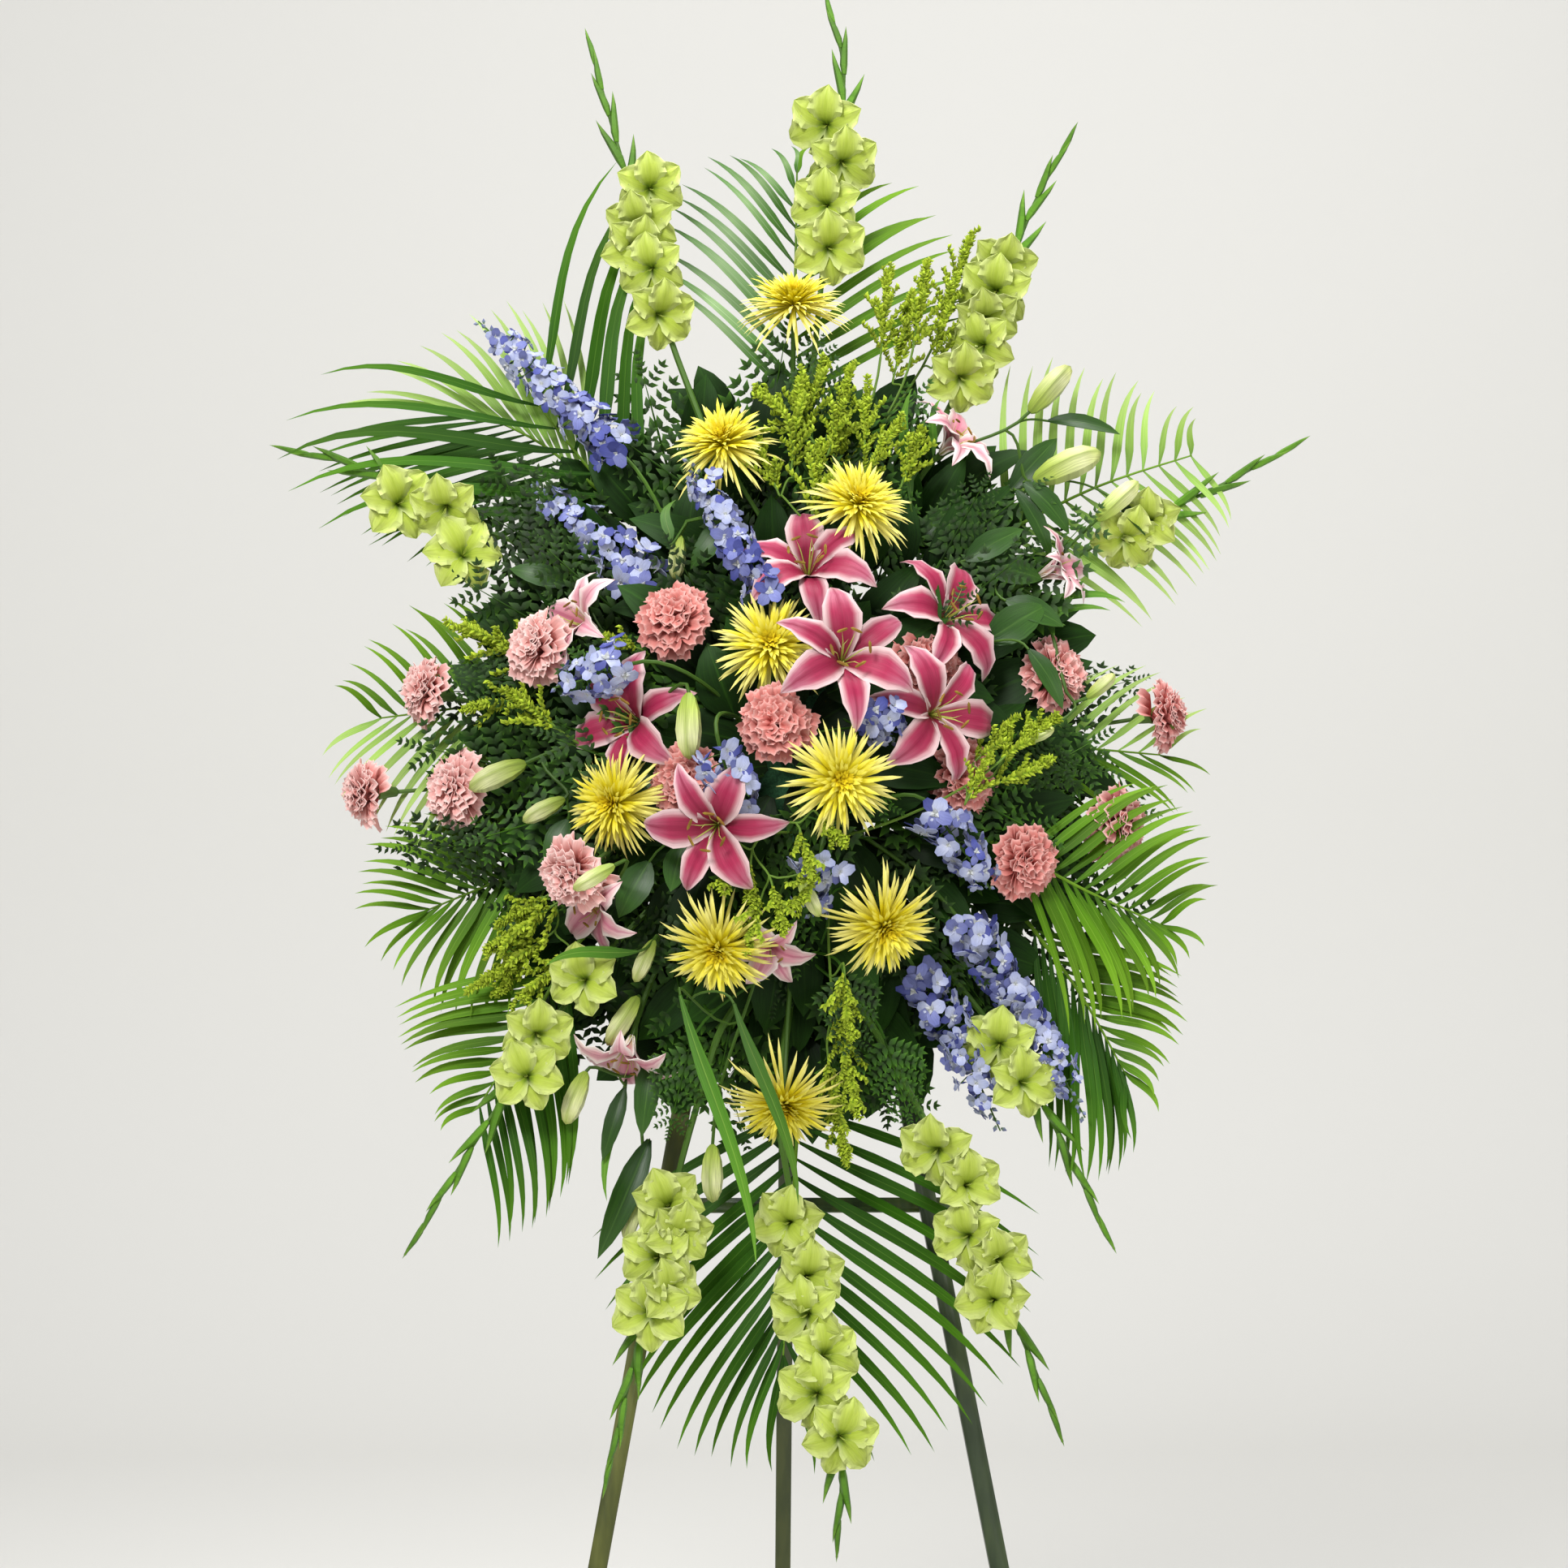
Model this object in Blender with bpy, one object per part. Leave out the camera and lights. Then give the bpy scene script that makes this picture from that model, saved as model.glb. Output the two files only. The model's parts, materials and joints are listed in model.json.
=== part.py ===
"""A standing flower spray on a folding wooden easel: a three-legged easel with a hinged rear leg, a foam
tray bound to its front legs, and the cut flowers and palm fronds that stand in the foam."""

import math
import random
from bisect import bisect_right

import bmesh
import bpy
from mathutils import Matrix, Vector
from mathutils.bvhtree import BVHTree
from mathutils.geometry import interpolate_bezier

# Easel, in metres
LEG_LENGTH = 1.524
LEG_WIDTH = 0.020
LEG_DEPTH = 0.014
LEAN = math.radians(12)
SPLAY = math.radians(10.4)
TOP_HALF_GAP = 0.0125
REAR_WIDTH = 0.018
REAR_DEPTH = 0.014
REAR_ANGLE = math.radians(27.5)
REAR_ABOVE_PIN = 0.010
PIN_BELOW_APEX = 0.030
PIN_RADIUS = 0.0016
PIN_PLAY = 0.0001
PIN_SIDES = 8
KNUCKLE_RADIUS = 0.0038
LEAF_THICK = 0.0016
LEAF_HEIGHT = 0.026
LEAF_BELOW_PIN = 0.002
BAR_HEIGHT = 0.016
BAR_DEPTH = 0.008
BAR_DOWN = 0.712
BAR_PAST_LEG = 0.026
BOLT_RADIUS = 0.0026
NUT_RADIUS = 0.0055
NUT_HEIGHT = 0.008
HEAD_RADIUS = 0.0060
LEG_SPARE = 0.05
GAP = 0.0003

# Foam holder, in metres
FOAM_WIDTH = 0.112
FOAM_HEIGHT = 0.450
FOAM_DEPTH = 0.078
FOAM_DOWN = 0.225
TRAY_WALL = 0.0025
TRAY_RIM = 0.022
BAND_WIDTH = 0.012
BAND_THICK = 0.0010
BAND_PLACES = (0.085, -0.135)

# The view that the flowers are set out in: a spot is a pixel across and down in a square picture
EYE = Vector((-0.16, -5.0, 1.226))
PICTURE_MIDDLE = (977, 966)
PIXEL = 0.0009
SPRAY_MIDDLE = (972, 930)

# Clearances kept between neighbours, in metres
CLEAR = 0.0006
HOLE_SPACING = 0.0095
HOLE_GAP = 0.0004
DROOPS = [0.008 * step for step in (0, 1, -1, 2, -2, 3, -3, 4, -4, 5, -5, 6, -6, 7)]
STUB_IN = 0.026
STUB_OUT = 0.011

across = Vector((1, 0, 0))
up = Vector((0, math.sin(LEAN), math.cos(LEAN)))
front = Vector((0, -math.cos(LEAN), math.sin(LEAN)))
leg_rise = LEG_LENGTH * math.cos(SPLAY)
apex = Vector((0, 0, leg_rise * math.cos(LEAN))) + Vector((0, 0.044, 0))
standing = []
draw = random.Random(5473)

for leftover in list(bpy.data.objects):
    bpy.data.objects.remove(leftover)


# Colours

LEAF_GREEN = (0.045, 0.110, 0.020)
STEM_GREEN = (0.130, 0.240, 0.050)
colours = {
    "easel_wood": ((0.060, 0.075, 0.022), 0.62, 0.0),
    "hinge_steel": ((0.45, 0.45, 0.43), 0.38, 1.0),
    "bolt_steel": ((0.30, 0.30, 0.28), 0.42, 1.0),
    "tray_plastic": ((0.030, 0.080, 0.030), 0.50, 0.0),
    "foam": ((0.050, 0.150, 0.060), 0.95, 0.0),
    "binding_tape": ((0.030, 0.110, 0.045), 0.45, 0.0),
    "palm": ((0.050, 0.130, 0.015), 0.42, 0.0),
    "gladiolus": ((0.420, 0.560, 0.070), 0.55, 0.0),
    "mum": ((0.860, 0.780, 0.020), 0.60, 0.0),
    "lily": ((0.560, 0.060, 0.120), 0.50, 0.0),
    "carnation": ((0.700, 0.200, 0.170), 0.65, 0.0),
    "delphinium": ((0.130, 0.110, 0.420), 0.60, 0.0),
    "solidago": ((0.300, 0.380, 0.020), 0.70, 0.0),
    "fern": ((0.020, 0.070, 0.010), 0.50, 0.0),
}


def finish(name, kind, tint=None):
    colour, roughness, metallic = colours[kind]
    material = bpy.data.materials.new(name)
    material.use_nodes = True
    shader = material.node_tree.nodes["Principled BSDF"]
    shader.inputs["Base Color"].default_value = (*(tint or colour), 1)
    shader.inputs["Roughness"].default_value = roughness
    shader.inputs["Metallic"].default_value = metallic
    return material


# Closed shapes, each a list of points and a list of faces


def numbered(points, ring):
    first = len(points)
    points += ring
    return list(range(first, first + len(ring)))


def linked(low, high, skip=()):
    """The faces between two rings of point numbers. The second may be one point, or have several times as
    many points as the first."""
    many, count = len(high), len(low)
    if count == 1:
        return [(low[0], high[(k + 1) % many], high[k]) for k in range(many)]
    faces = []
    for k in range(count):
        if k in skip:
            continue
        a, b = low[k], low[(k + 1) % count]
        if many == 1:
            faces.append((a, b, high[0]))
            continue
        times = many // count
        fan = [high[(times * k + step) % many] for step in range(times + 1)]
        faces += [(a, b, fan[1]), (a, fan[1], fan[0])]
        faces += [(b, fan[j + 1], fan[j]) for j in range(1, times)]
    return faces


def skin(rings, sprouts=()):
    """A closed skin over rings that turn left round the way forward, where a ring of one point closes an end.
    A sprout grows out of one side of one stretch, through rings of its own to a point."""
    points = []
    loops = [numbered(points, ring) for ring in rings]
    faces = [tuple(reversed(loops[0]))] if len(loops[0]) > 1 else []
    for k, (low, high) in enumerate(zip(loops, loops[1:])):
        faces += linked(low, high, [side for stretch, side, more in sprouts if stretch == k])
    if len(loops[-1]) > 1:
        faces.append(tuple(loops[-1]))
    for stretch, side, more in sprouts:
        low, high = loops[stretch], loops[stretch + 1]
        after = (side + 1) % len(low)
        base = [low[side], low[after], high[after], high[side]]
        for ring in more:
            following = numbered(points, ring)
            faces += linked(base, following)
            base = following
    return points, faces


def frames_along(path, last_side=None):
    """Two directions across a path at each of its points, without twist. They may be given at its end."""
    order = range(len(path)) if last_side is None else reversed(range(len(path)))
    frames = []
    side = last_side
    for i in order:
        ahead = (path[min(i + 1, len(path) - 1)] - path[max(i - 1, 0)]).normalized()
        side = (side - side.project(ahead)).normalized() if side else ahead.orthogonal().normalized()
        frames.append((side, ahead.cross(side)))
    return frames if last_side is None else frames[::-1]


def ring_at(centre, side, other, radius, sides):
    turns = [math.tau * (k + 0.5) / sides for k in range(sides)]
    return [centre + radius * (math.cos(t) * side + math.sin(t) * other) for t in turns]


def oblong_at(centre, side, other, half_width, half_depth):
    corners = ((1, 1), (-1, 1), (-1, -1), (1, -1))
    return [centre + side * half_width * x + other * half_depth * y for x, y in corners]


def tube_rings(path, radii, sides, last_side=None):
    """Rings along a stem. A radius of nothing makes a point."""
    rings = []
    for point, radius, (side, other) in zip(path, radii, frames_along(path, last_side)):
        rings.append(ring_at(point, side, other, radius, sides) if radius else [point])
    return rings


def tube(path, radii, sides=5):
    return skin(tube_rings(path, radii, sides))


def lens(points, faces, rise):
    """A leaf or petal made solid: the points inside its outline are moved forward by this much on a second
    sheet, and both sheets share the outline."""
    edges = {edge for a, b, c in faces for edge in ((a, b), (b, c), (c, a))}
    rim = {a for a, b in edges if (b, a) not in edges}
    inner = [k for k in range(len(points)) if k not in rim]
    twin = {k: len(points) + i for i, k in enumerate(inner)}
    solid = points + [points[k] + rise for k in inner]
    return solid, [(c, b, a) for a, b, c in faces] + [tuple(twin.get(k, k) for k in face) for face in faces]


def basis(facing, turn=0.0):
    side = facing.cross(Vector((0, 0, 1)))
    side = side.normalized() if side.length > 0.1 else facing.orthogonal().normalized()
    side = Matrix.Rotation(turn, 3, facing) @ side
    return side, facing.cross(side)


def star_ring(centre, side, other, count, outer, inner, lift):
    """A zigzag ring: every other point is further out, and lift moves the inner ones forward."""
    facing = side.cross(other)
    ring = []
    for k in range(2 * count):
        angle = math.pi * k / count
        reach = inner if k % 2 else outer
        forward = lift if k % 2 else 0
        ring.append(centre + reach * (math.cos(angle) * side + math.sin(angle) * other) + forward * facing)
    return ring


# Placing


def spot_at(spot, forward):
    """The point seen at a spot of the picture, this far in front of the plane of the front legs."""
    target = Vector(((spot[0] - PICTURE_MIDDLE[0]) * PIXEL, 0, EYE.z + (966 - spot[1]) * PIXEL))
    ray = target - EYE
    slope = math.tan(LEAN)
    plane = apex.y - slope * apex.z - forward
    return EYE + ray * (plane + slope * EYE.z - EYE.y) / (ray.y - slope * ray.z)


def dome(spot):
    """How far forward the flowers stand: most in the middle of the spray."""
    reach = math.hypot(spot[0] - SPRAY_MIDDLE[0], (spot[1] - SPRAY_MIDDLE[1]) * 0.85) * PIXEL
    return 0.045 + 0.215 * math.exp(-((reach / 0.30) ** 2))


def outward(spot, spread=1.0):
    """The way a flower faces: out of the spray and towards the front."""
    lean_x = (spot[0] - SPRAY_MIDDLE[0]) * PIXEL / 0.45 * spread
    lean_z = (SPRAY_MIDDLE[1] - spot[1]) * PIXEL / 0.45 * spread
    return Vector((lean_x, -1, lean_z + 0.1)).normalized()


def swollen(shape, by):
    """The shape with every point moved out by this much."""
    points, faces = shape
    normals = [Vector() for _ in points]
    for face in faces:
        a, b, c = (points[k] for k in face[:3])
        normal = (b - a).cross(c - a).normalized()
        for k in face:
            normals[k] += normal
    return [p + n.normalized() * by for p, n in zip(points, normals)], faces


def tree_of(shape):
    return BVHTree.FromPolygons(*shape)


def clear(shape, also=()):
    tree = tree_of(swollen(shape, CLEAR))
    return not any(tree.overlap(other) for other in [*standing, *also])


# Making objects


def mesh_of(name, shape, greens=0):
    """A mesh whose first faces, this many, have the stem's colour."""
    points, faces = shape
    mesh = bpy.data.meshes.new(name)
    mesh.from_pydata([tuple(p) for p in points], [], faces)
    for polygon in mesh.polygons:
        polygon.material_index = int(polygon.index < greens)
    return mesh


def place(name, mesh, kind):
    obj = bpy.data.objects.new(name, mesh)
    bpy.context.scene.collection.objects.link(obj)
    obj.data.materials.append(finish(name, kind))
    return obj


def fused(name, shapes, kind, two_colours=True):
    """One body from shapes that run into each other, each given with how many of its faces are green."""
    obj = place(name, mesh_of(name, *shapes[0]), kind)
    if two_colours:
        obj.data.materials.append(finish(name + "_stem", kind, STEM_GREEN))
    if len(shapes) > 1:
        others = bpy.data.collections.new(name)
        for shape, greens in shapes[1:]:
            other = bpy.data.objects.new(name + "_bit", mesh_of(name + "_bit", shape, greens))
            for material in obj.data.materials:
                other.data.materials.append(material)
            others.objects.link(other)
        union = obj.modifiers.new("union", "BOOLEAN")
        union.operation = "UNION"
        union.operand_type = "COLLECTION"
        union.collection = others
        union.solver = "MANIFOLD"
        bpy.context.view_layer.objects.active = obj
        bpy.ops.object.modifier_apply(modifier=union.name)
        for other in list(others.objects):
            bpy.data.objects.remove(other)
        bpy.data.collections.remove(others)
        mesh = bmesh.new()
        mesh.from_mesh(obj.data)
        drop_scraps(mesh)
        mesh.to_mesh(obj.data)
        mesh.free()
    remember(obj)
    return obj


def cut(obj, cutters, name):
    """Takes the cutters out of a body."""
    group = bpy.data.collections.new(name)
    for shape in cutters:
        group.objects.link(bpy.data.objects.new(name, mesh_of(name, shape)))
    difference = obj.modifiers.new(name, "BOOLEAN")
    difference.operation = "DIFFERENCE"
    difference.operand_type = "COLLECTION"
    difference.collection = group
    difference.solver = "MANIFOLD"
    bpy.context.view_layer.objects.active = obj
    bpy.ops.object.modifier_apply(modifier=difference.name)
    for cutter in list(group.objects):
        bpy.data.objects.remove(cutter)
    bpy.data.collections.remove(group)


def bar(low, high, width_way, depth_way, width, depth):
    """A straight bar between the middles of its two ends."""
    ends = []
    for end in (low, high):
        ring = []
        for x, y in ((-1, -1), (1, -1), (1, 1), (-1, 1)):
            ring.append(end + width_way * (x * width / 2) + depth_way * (y * depth / 2))
        ends.append(ring)
    if width_way.cross(depth_way).dot(high - low) < 0:
        ends.reverse()
    return skin(ends)


def in_plane(u, v, w):
    """A point of the front frame: across it, up it from the apex, and in front of it."""
    return apex + across * u + up * v + front * w


def solid(name, shape, kind):
    return place(name, mesh_of(name, shape), kind)


def bolt_hole(side):
    """A cutter along the bolt that holds the crossbar to a leg."""
    u, v = bar_end(side)
    return tube([in_plane(u, v, -0.03), in_plane(u, v, 0.03)], [BOLT_RADIUS + 2 * GAP] * 2, 6)


def below_floor(x, y):
    """A cutter for a leg's end, whose top is the floor."""
    middle = Vector((x, y, 0))
    return bar(middle - Vector((0, 0, 0.2)), middle, across, Vector((0, 1, 0)), 0.5, 0.5)


def drop_scraps(mesh):
    """Keeps only the largest body: a hollow that a union seals is filled, and a loose scrap is dropped."""
    left = set(mesh.faces)
    bodies = []
    while left:
        grown = [left.pop()]
        for face in grown:
            near = {other for edge in face.edges for other in edge.link_faces} & left
            left -= near
            grown += near
        bodies.append(grown)
    bodies.sort(key=len)
    scraps = [face for body in bodies[:-1] for face in body]
    bmesh.ops.delete(mesh, geom=scraps, context="FACES")


def remember(obj):
    """Lets what is made later keep clear of this object."""
    points = [vert.co.copy() for vert in obj.data.vertices]
    standing.append(tree_of((points, [tuple(polygon.vertices) for polygon in obj.data.polygons])))


# Easel


def bar_end(side):
    """Where the crossbar's bolt crosses a leg: across and up from the apex."""
    return side * (TOP_HALF_GAP + BAR_DOWN * math.tan(SPLAY)), -BAR_DOWN


def front_leg(name, side):
    way = (across * side * math.sin(SPLAY) - up * math.cos(SPLAY)).normalized()
    top = in_plane(side * TOP_HALF_GAP, 0, 0)
    foot = top + way * (LEG_LENGTH + LEG_SPARE)
    shape = bar(foot, top, way.cross(front).normalized(), front, LEG_WIDTH, LEG_DEPTH)
    obj = solid(name, shape, "easel_wood")
    cut(obj, [bolt_hole(side), below_floor(foot.x, foot.y)], name + "_cuts")
    remember(obj)


def rear_frame():
    """The rear leg's way down, and its back: it hangs on the pin, opened from the front frame."""
    down = Matrix.Rotation(REAR_ANGLE, 3, across) @ -up
    return down, across.cross(down).normalized()


def swept(pin, down):
    """The wedge that the rear leg sweeps as it folds, which the flowers keep clear of."""
    half = across * (REAR_WIDTH / 2 + 0.006)
    sheet = [pin - up * 0.02]
    for k in range(9):
        sheet.append(pin + Matrix.Rotation(-REAR_ANGLE * k / 8, 3, across) @ down * LEG_LENGTH)
    count = len(sheet)
    points = [p - half for p in sheet] + [p + half for p in sheet]
    faces = []
    for k in range(1, count - 1):
        faces += [(0, k, k + 1), (count, count + k + 1, count + k)]
        faces += [(k, k + count, k + 1 + count), (k, k + 1 + count, k + 1)]
    return points, faces


def easel():
    front_leg("leg_left", -1)
    front_leg("leg_right", 1)

    half = bar_end(1)[0] + BAR_PAST_LEG
    back = -(LEG_DEPTH / 2 + GAP + BAR_DEPTH / 2)
    ends = [in_plane(side * half, -BAR_DOWN, back) for side in (-1, 1)]
    crossbar = solid("crossbar", bar(*ends, up, front, BAR_HEIGHT, BAR_DEPTH), "easel_wood")
    cut(crossbar, [bolt_hole(-1), bolt_hole(1)], "bolt_holes")
    remember(crossbar)

    face = LEG_DEPTH / 2 + GAP
    rear = -(LEG_DEPTH / 2 + 2 * GAP + BAR_DEPTH)
    step = 0.0001
    bolt = [
        (rear - NUT_HEIGHT, BOLT_RADIUS), (rear - NUT_HEIGHT + step, NUT_RADIUS), (rear, NUT_RADIUS),
        (rear + step, BOLT_RADIUS), (face - step, BOLT_RADIUS), (face, HEAD_RADIUS), (face + 0.003, 0.004),
    ]
    for name, side in (("bolt_left", -1), ("bolt_right", 1)):
        u, v = bar_end(side)
        path = [in_plane(u, v, w) for w, radius in bolt]
        remember(solid(name, tube(path, [radius for w, radius in bolt], 6), "bolt_steel"))

    pin = in_plane(0, -PIN_BELOW_APEX, -(LEG_DEPTH / 2 + GAP + LEAF_THICK / 2 + KNUCKLE_RADIUS))
    third = (2 * TOP_HALF_GAP + LEG_WIDTH) / 3
    leaf_back = -(LEG_DEPTH / 2 + GAP + LEAF_THICK / 2)
    plate_low = in_plane(0, -PIN_BELOW_APEX - LEAF_BELOW_PIN, leaf_back)
    plate_high = in_plane(0, -PIN_BELOW_APEX + LEAF_HEIGHT, leaf_back)
    plate = bar(plate_low, plate_high, across, front, 3 * third, LEAF_THICK)
    bore_radius = (PIN_RADIUS + PIN_PLAY) / math.cos(math.pi / PIN_SIDES)
    bore = tube([pin - across * 0.05, pin + across * 0.05], [bore_radius] * 2, PIN_SIDES)
    knuckles = []
    for side in (-1, 1):
        ends = [pin + across * side * (third / 2 + GAP), pin + across * side * third * 1.5]
        knuckles.append(tube(ends, [KNUCKLE_RADIUS] * 2, 8))
    front_leaf = fused("hinge_leaf_front", [(shape, 0) for shape in (plate, *knuckles)], "hinge_steel", False)
    notch_top = in_plane(0, -PIN_BELOW_APEX + KNUCKLE_RADIUS + GAP, leaf_back)
    notch = bar(notch_top - up * LEAF_HEIGHT, notch_top, across, front, third + GAP, 4 * LEAF_THICK)
    cut(front_leaf, [bore, notch], "pin_bore")

    down, back_way = rear_frame()
    leaf_mid = pin + back_way * KNUCKLE_RADIUS
    plate_ends = [leaf_mid - down * LEAF_BELOW_PIN, leaf_mid + down * LEAF_HEIGHT]
    plate = bar(*plate_ends, across, back_way, third * 0.98, LEAF_THICK)
    knuckle = tube([pin - across * (third / 2), pin + across * (third / 2)], [KNUCKLE_RADIUS] * 2, 8)
    rear_leaf = fused("hinge_leaf_rear", [(plate, 0), (knuckle, 0)], "hinge_steel", False)
    cut(rear_leaf, [bore], "pin_bore")
    ends = [pin - across * third * 1.52, pin + across * third * 1.52]
    remember(solid("hinge_pin", tube(ends, [PIN_RADIUS] * 2, PIN_SIDES), "hinge_steel"))

    centre = pin + back_way * (KNUCKLE_RADIUS + LEAF_THICK / 2 + GAP + REAR_DEPTH / 2)
    foot = centre + down * ((centre.z + LEG_SPARE) / -down.z)
    shape = bar(foot, centre - down * REAR_ABOVE_PIN, across, back_way, REAR_WIDTH, REAR_DEPTH)
    rear = solid("leg_rear", shape, "easel_wood")
    cut(rear, [below_floor(foot.x, foot.y)], "rear_cuts")
    remember(rear)
    standing.append(tree_of(swept(pin, down)))

    return pin, (rear, rear_leaf)


# Foam holder

foam_middle = in_plane(0, -FOAM_DOWN, LEG_DEPTH / 2 + GAP + TRAY_WALL + GAP + FOAM_DEPTH / 2)
foam_half = Vector((FOAM_WIDTH / 2, FOAM_HEIGHT / 2, FOAM_DEPTH / 2))


def in_foam(point):
    """A point as across, up and forward of the foam's middle."""
    away = point - foam_middle
    return Vector((away.dot(across), away.dot(up), away.dot(front)))


def from_foam(local):
    return foam_middle + across * local.x + up * local.y + front * local.z


def block(local_middle, size):
    middle = from_foam(Vector(local_middle))
    return bar(middle - up * size[1] / 2, middle + up * size[1] / 2, across, front, size[0], size[2])


def band(name, v, tray_face, tray_half):
    """A band round both legs, the tray and the foam, at this height on the foam."""
    leg_middle = TOP_HALF_GAP + (FOAM_DOWN - v) * math.tan(SPLAY)
    leg_half = leg_middle + LEG_WIDTH / 2 / math.cos(SPLAY) + BAND_WIDTH * 0.1 + GAP
    legs_back = -FOAM_DEPTH / 2 - TRAY_WALL - 3 * GAP - LEG_DEPTH
    tray_half += GAP
    foam_front = FOAM_DEPTH / 2 + GAP
    outline = [
        (leg_half, legs_back, 1), (max(leg_half, tray_half), tray_face - TRAY_WALL - GAP, 0),
        (tray_half, tray_face + TRAY_RIM + GAP, 0), (FOAM_WIDTH / 2 + GAP, foam_front, 1),
    ]
    outline = [(-leg_half, legs_back, 1)] + outline + [(-x, w, corner) for x, w, corner in outline[:0:-1]]
    middle = (legs_back + FOAM_DEPTH / 2) / 2
    rings = []
    for thick in (0, BAND_THICK):
        for high in (v - BAND_WIDTH / 2, v + BAND_WIDTH / 2):
            ring = []
            for x, w, corner in outline:
                grown = w + corner * math.copysign(thick, w - middle)
                ring.append(from_foam(Vector((x + math.copysign(thick, x), high, grown))))
            rings.append(ring)
    n = len(outline)
    faces = []
    for k in range(n):
        j = (k + 1) % n
        for a, b in ((0, 1), (3, 2), (2, 0), (1, 3)):
            faces.append((a * n + k, a * n + j, b * n + j, b * n + k))
    obj = solid(name, (sum(rings, []), faces), "binding_tape")
    remember(obj)


def holder():
    """The tray and its bands. The foam comes last, when its holes are known."""
    outer = (FOAM_WIDTH + 2 * (GAP + TRAY_WALL), FOAM_HEIGHT + 2 * (GAP + TRAY_WALL))
    back = -FOAM_DEPTH / 2 - GAP
    tray_depth = TRAY_WALL + TRAY_RIM
    tray_block = block((0, 0, back - TRAY_WALL + tray_depth / 2), (*outer, tray_depth))
    tray = solid("foam_tray", tray_block, "tray_plastic")
    inner = (FOAM_WIDTH + 2 * GAP, FOAM_HEIGHT + 2 * GAP, tray_depth)
    cut(tray, [block((0, 0, back + tray_depth / 2), inner)], "foam_seat")
    remember(tray)

    for name, v in zip(("band_upper", "band_lower"), BAND_PLACES):
        band(name, v, back, outer[0] / 2)
    standing.append(tree_of(block((0, 0, 0), (FOAM_WIDTH, FOAM_HEIGHT, FOAM_DEPTH))))


foam_holes = []
foam_entries = []
ENTRY_TRIES = 160


def entry(target, radius):
    """A free place in the foam for a stem that makes for the target: its hole, and the way out of it."""
    aim = in_foam(target)
    for attempt in range(ENTRY_TRIES):
        loose = attempt / ENTRY_TRIES
        source = Vector((
            draw.uniform(-0.03, 0.03) * loose,
            max(-0.17, min(0.17, aim.y * 0.42 + draw.uniform(-0.11, 0.11) * loose)),
            -0.004 + draw.uniform(-0.018, 0.034) * loose,
        ))
        way = aim - source
        way.z = max(way.z, 0.04 * way.length)
        reaches = []
        for axis in range(3):
            if abs(way[axis]) > 1e-6:
                wall = math.copysign(foam_half[axis], way[axis])
                reaches.append(((wall - source[axis]) / way[axis], axis))
        reach, axis = min(r for r in reaches if r[0] > 0)
        at = source + way * reach
        normal = Vector((0, 0, 0))
        normal[axis] = math.copysign(1, way[axis])
        if axis == 2 and normal.z < 0 or at.z < -foam_half.z + TRAY_RIM + radius + 0.004:
            continue
        if any(abs(at.y - v) < BAND_WIDTH / 2 + radius + 0.004 for v in BAND_PLACES):
            continue
        if axis != 1 and abs(at.y) > foam_half.y - 0.008 or axis != 0 and abs(at.x) > foam_half.x - 0.008:
            continue
        if axis != 2 and at.z > foam_half.z - 0.008:
            continue
        out = (way.normalized() + normal * 0.75).normalized()
        begin, end = from_foam(at - out * STUB_IN), from_foam(at + out * STUB_OUT)
        if any(min(math.dist(begin, b), math.dist(end, e)) < HOLE_SPACING for b, e in foam_entries):
            continue
        tree = tree_of(swollen(tube([begin, end], [radius] * 2, 6), CLEAR))
        if any(tree.overlap(other) for k, other in enumerate(standing) if k != foam_tree):
            continue
        foam_entries.append((begin, end))
        return begin, end, (end - begin).normalized()
    return None


def drill(ring, begin, hub, radius):
    """The stem's hole in the foam, a little wider than the stem all round."""
    way = (hub - begin).normalized()
    wider = 1 + HOLE_GAP / radius / math.cos(math.pi / len(ring))
    outline = [begin + (p - begin) * wider for p in ring]
    mouth = [p + (hub - begin) + way * 0.004 for p in outline]
    foam_holes.append(skin([[p - way * 0.0005 for p in outline], mouth]))


def curve(start, way_out, end, way_in, bow, steps):
    """A stem's middle line: it leaves the foam one way, and reaches its flower another."""
    span = (end - start).length
    handle = start + way_out * span * 0.35 + bow
    other = end - way_in * span * 0.35 + bow
    return interpolate_bezier(start, handle, other, end, steps)


def route(start, way_out, end, way_in, radii, steps=5, tries=60, also=()):
    """The middle line of the first stem between two ends that is clear of what stands already."""
    for attempt in range(tries):
        loose = 0.07 * attempt / tries
        bow = Vector([draw.uniform(-loose, loose) for _ in range(3)])
        path = curve(start, way_out, end, way_in, bow, steps)
        if clear(tube(path, tapered(radii, steps), 8), also):
            return path
    return None


def tapered(radii, steps):
    return [radii[0] + (radii[1] - radii[0]) * k / (steps - 1) for k in range(steps)]


# Flower heads


def mum_head(centre, facing, size, turn):
    """A spider mum and the root of its stem: pointed quills round a small core, shortest in the middle."""
    ball = bmesh.new()
    bmesh.ops.create_icosphere(ball, subdivisions=2, radius=1)
    side, other = basis(facing, turn)
    core = size * 0.17
    for face in list(ball.faces):
        way = face.calc_center_median().normalized()
        if way.z < -0.45:
            continue
        reach = size * (0.50 - 0.19 * max(0, way.z) ** 1.5 - 0.10 * max(0, -way.z))
        reach *= 1 + draw.uniform(-0.07, 0.07)
        bmesh.ops.poke(ball, faces=[face])["verts"][0].co = way * reach / core
    points = []
    for vert in ball.verts:
        flat = 0.95 if vert.co.z > 0 else 0.75
        points.append(centre + core * (side * vert.co.x + other * vert.co.y + facing * vert.co.z * flat))
    ball.verts.index_update()
    faces = [tuple(v.index for v in f.verts) for f in ball.faces]
    ball.free()
    return (points, faces), centre - facing * core * 0.4


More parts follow.
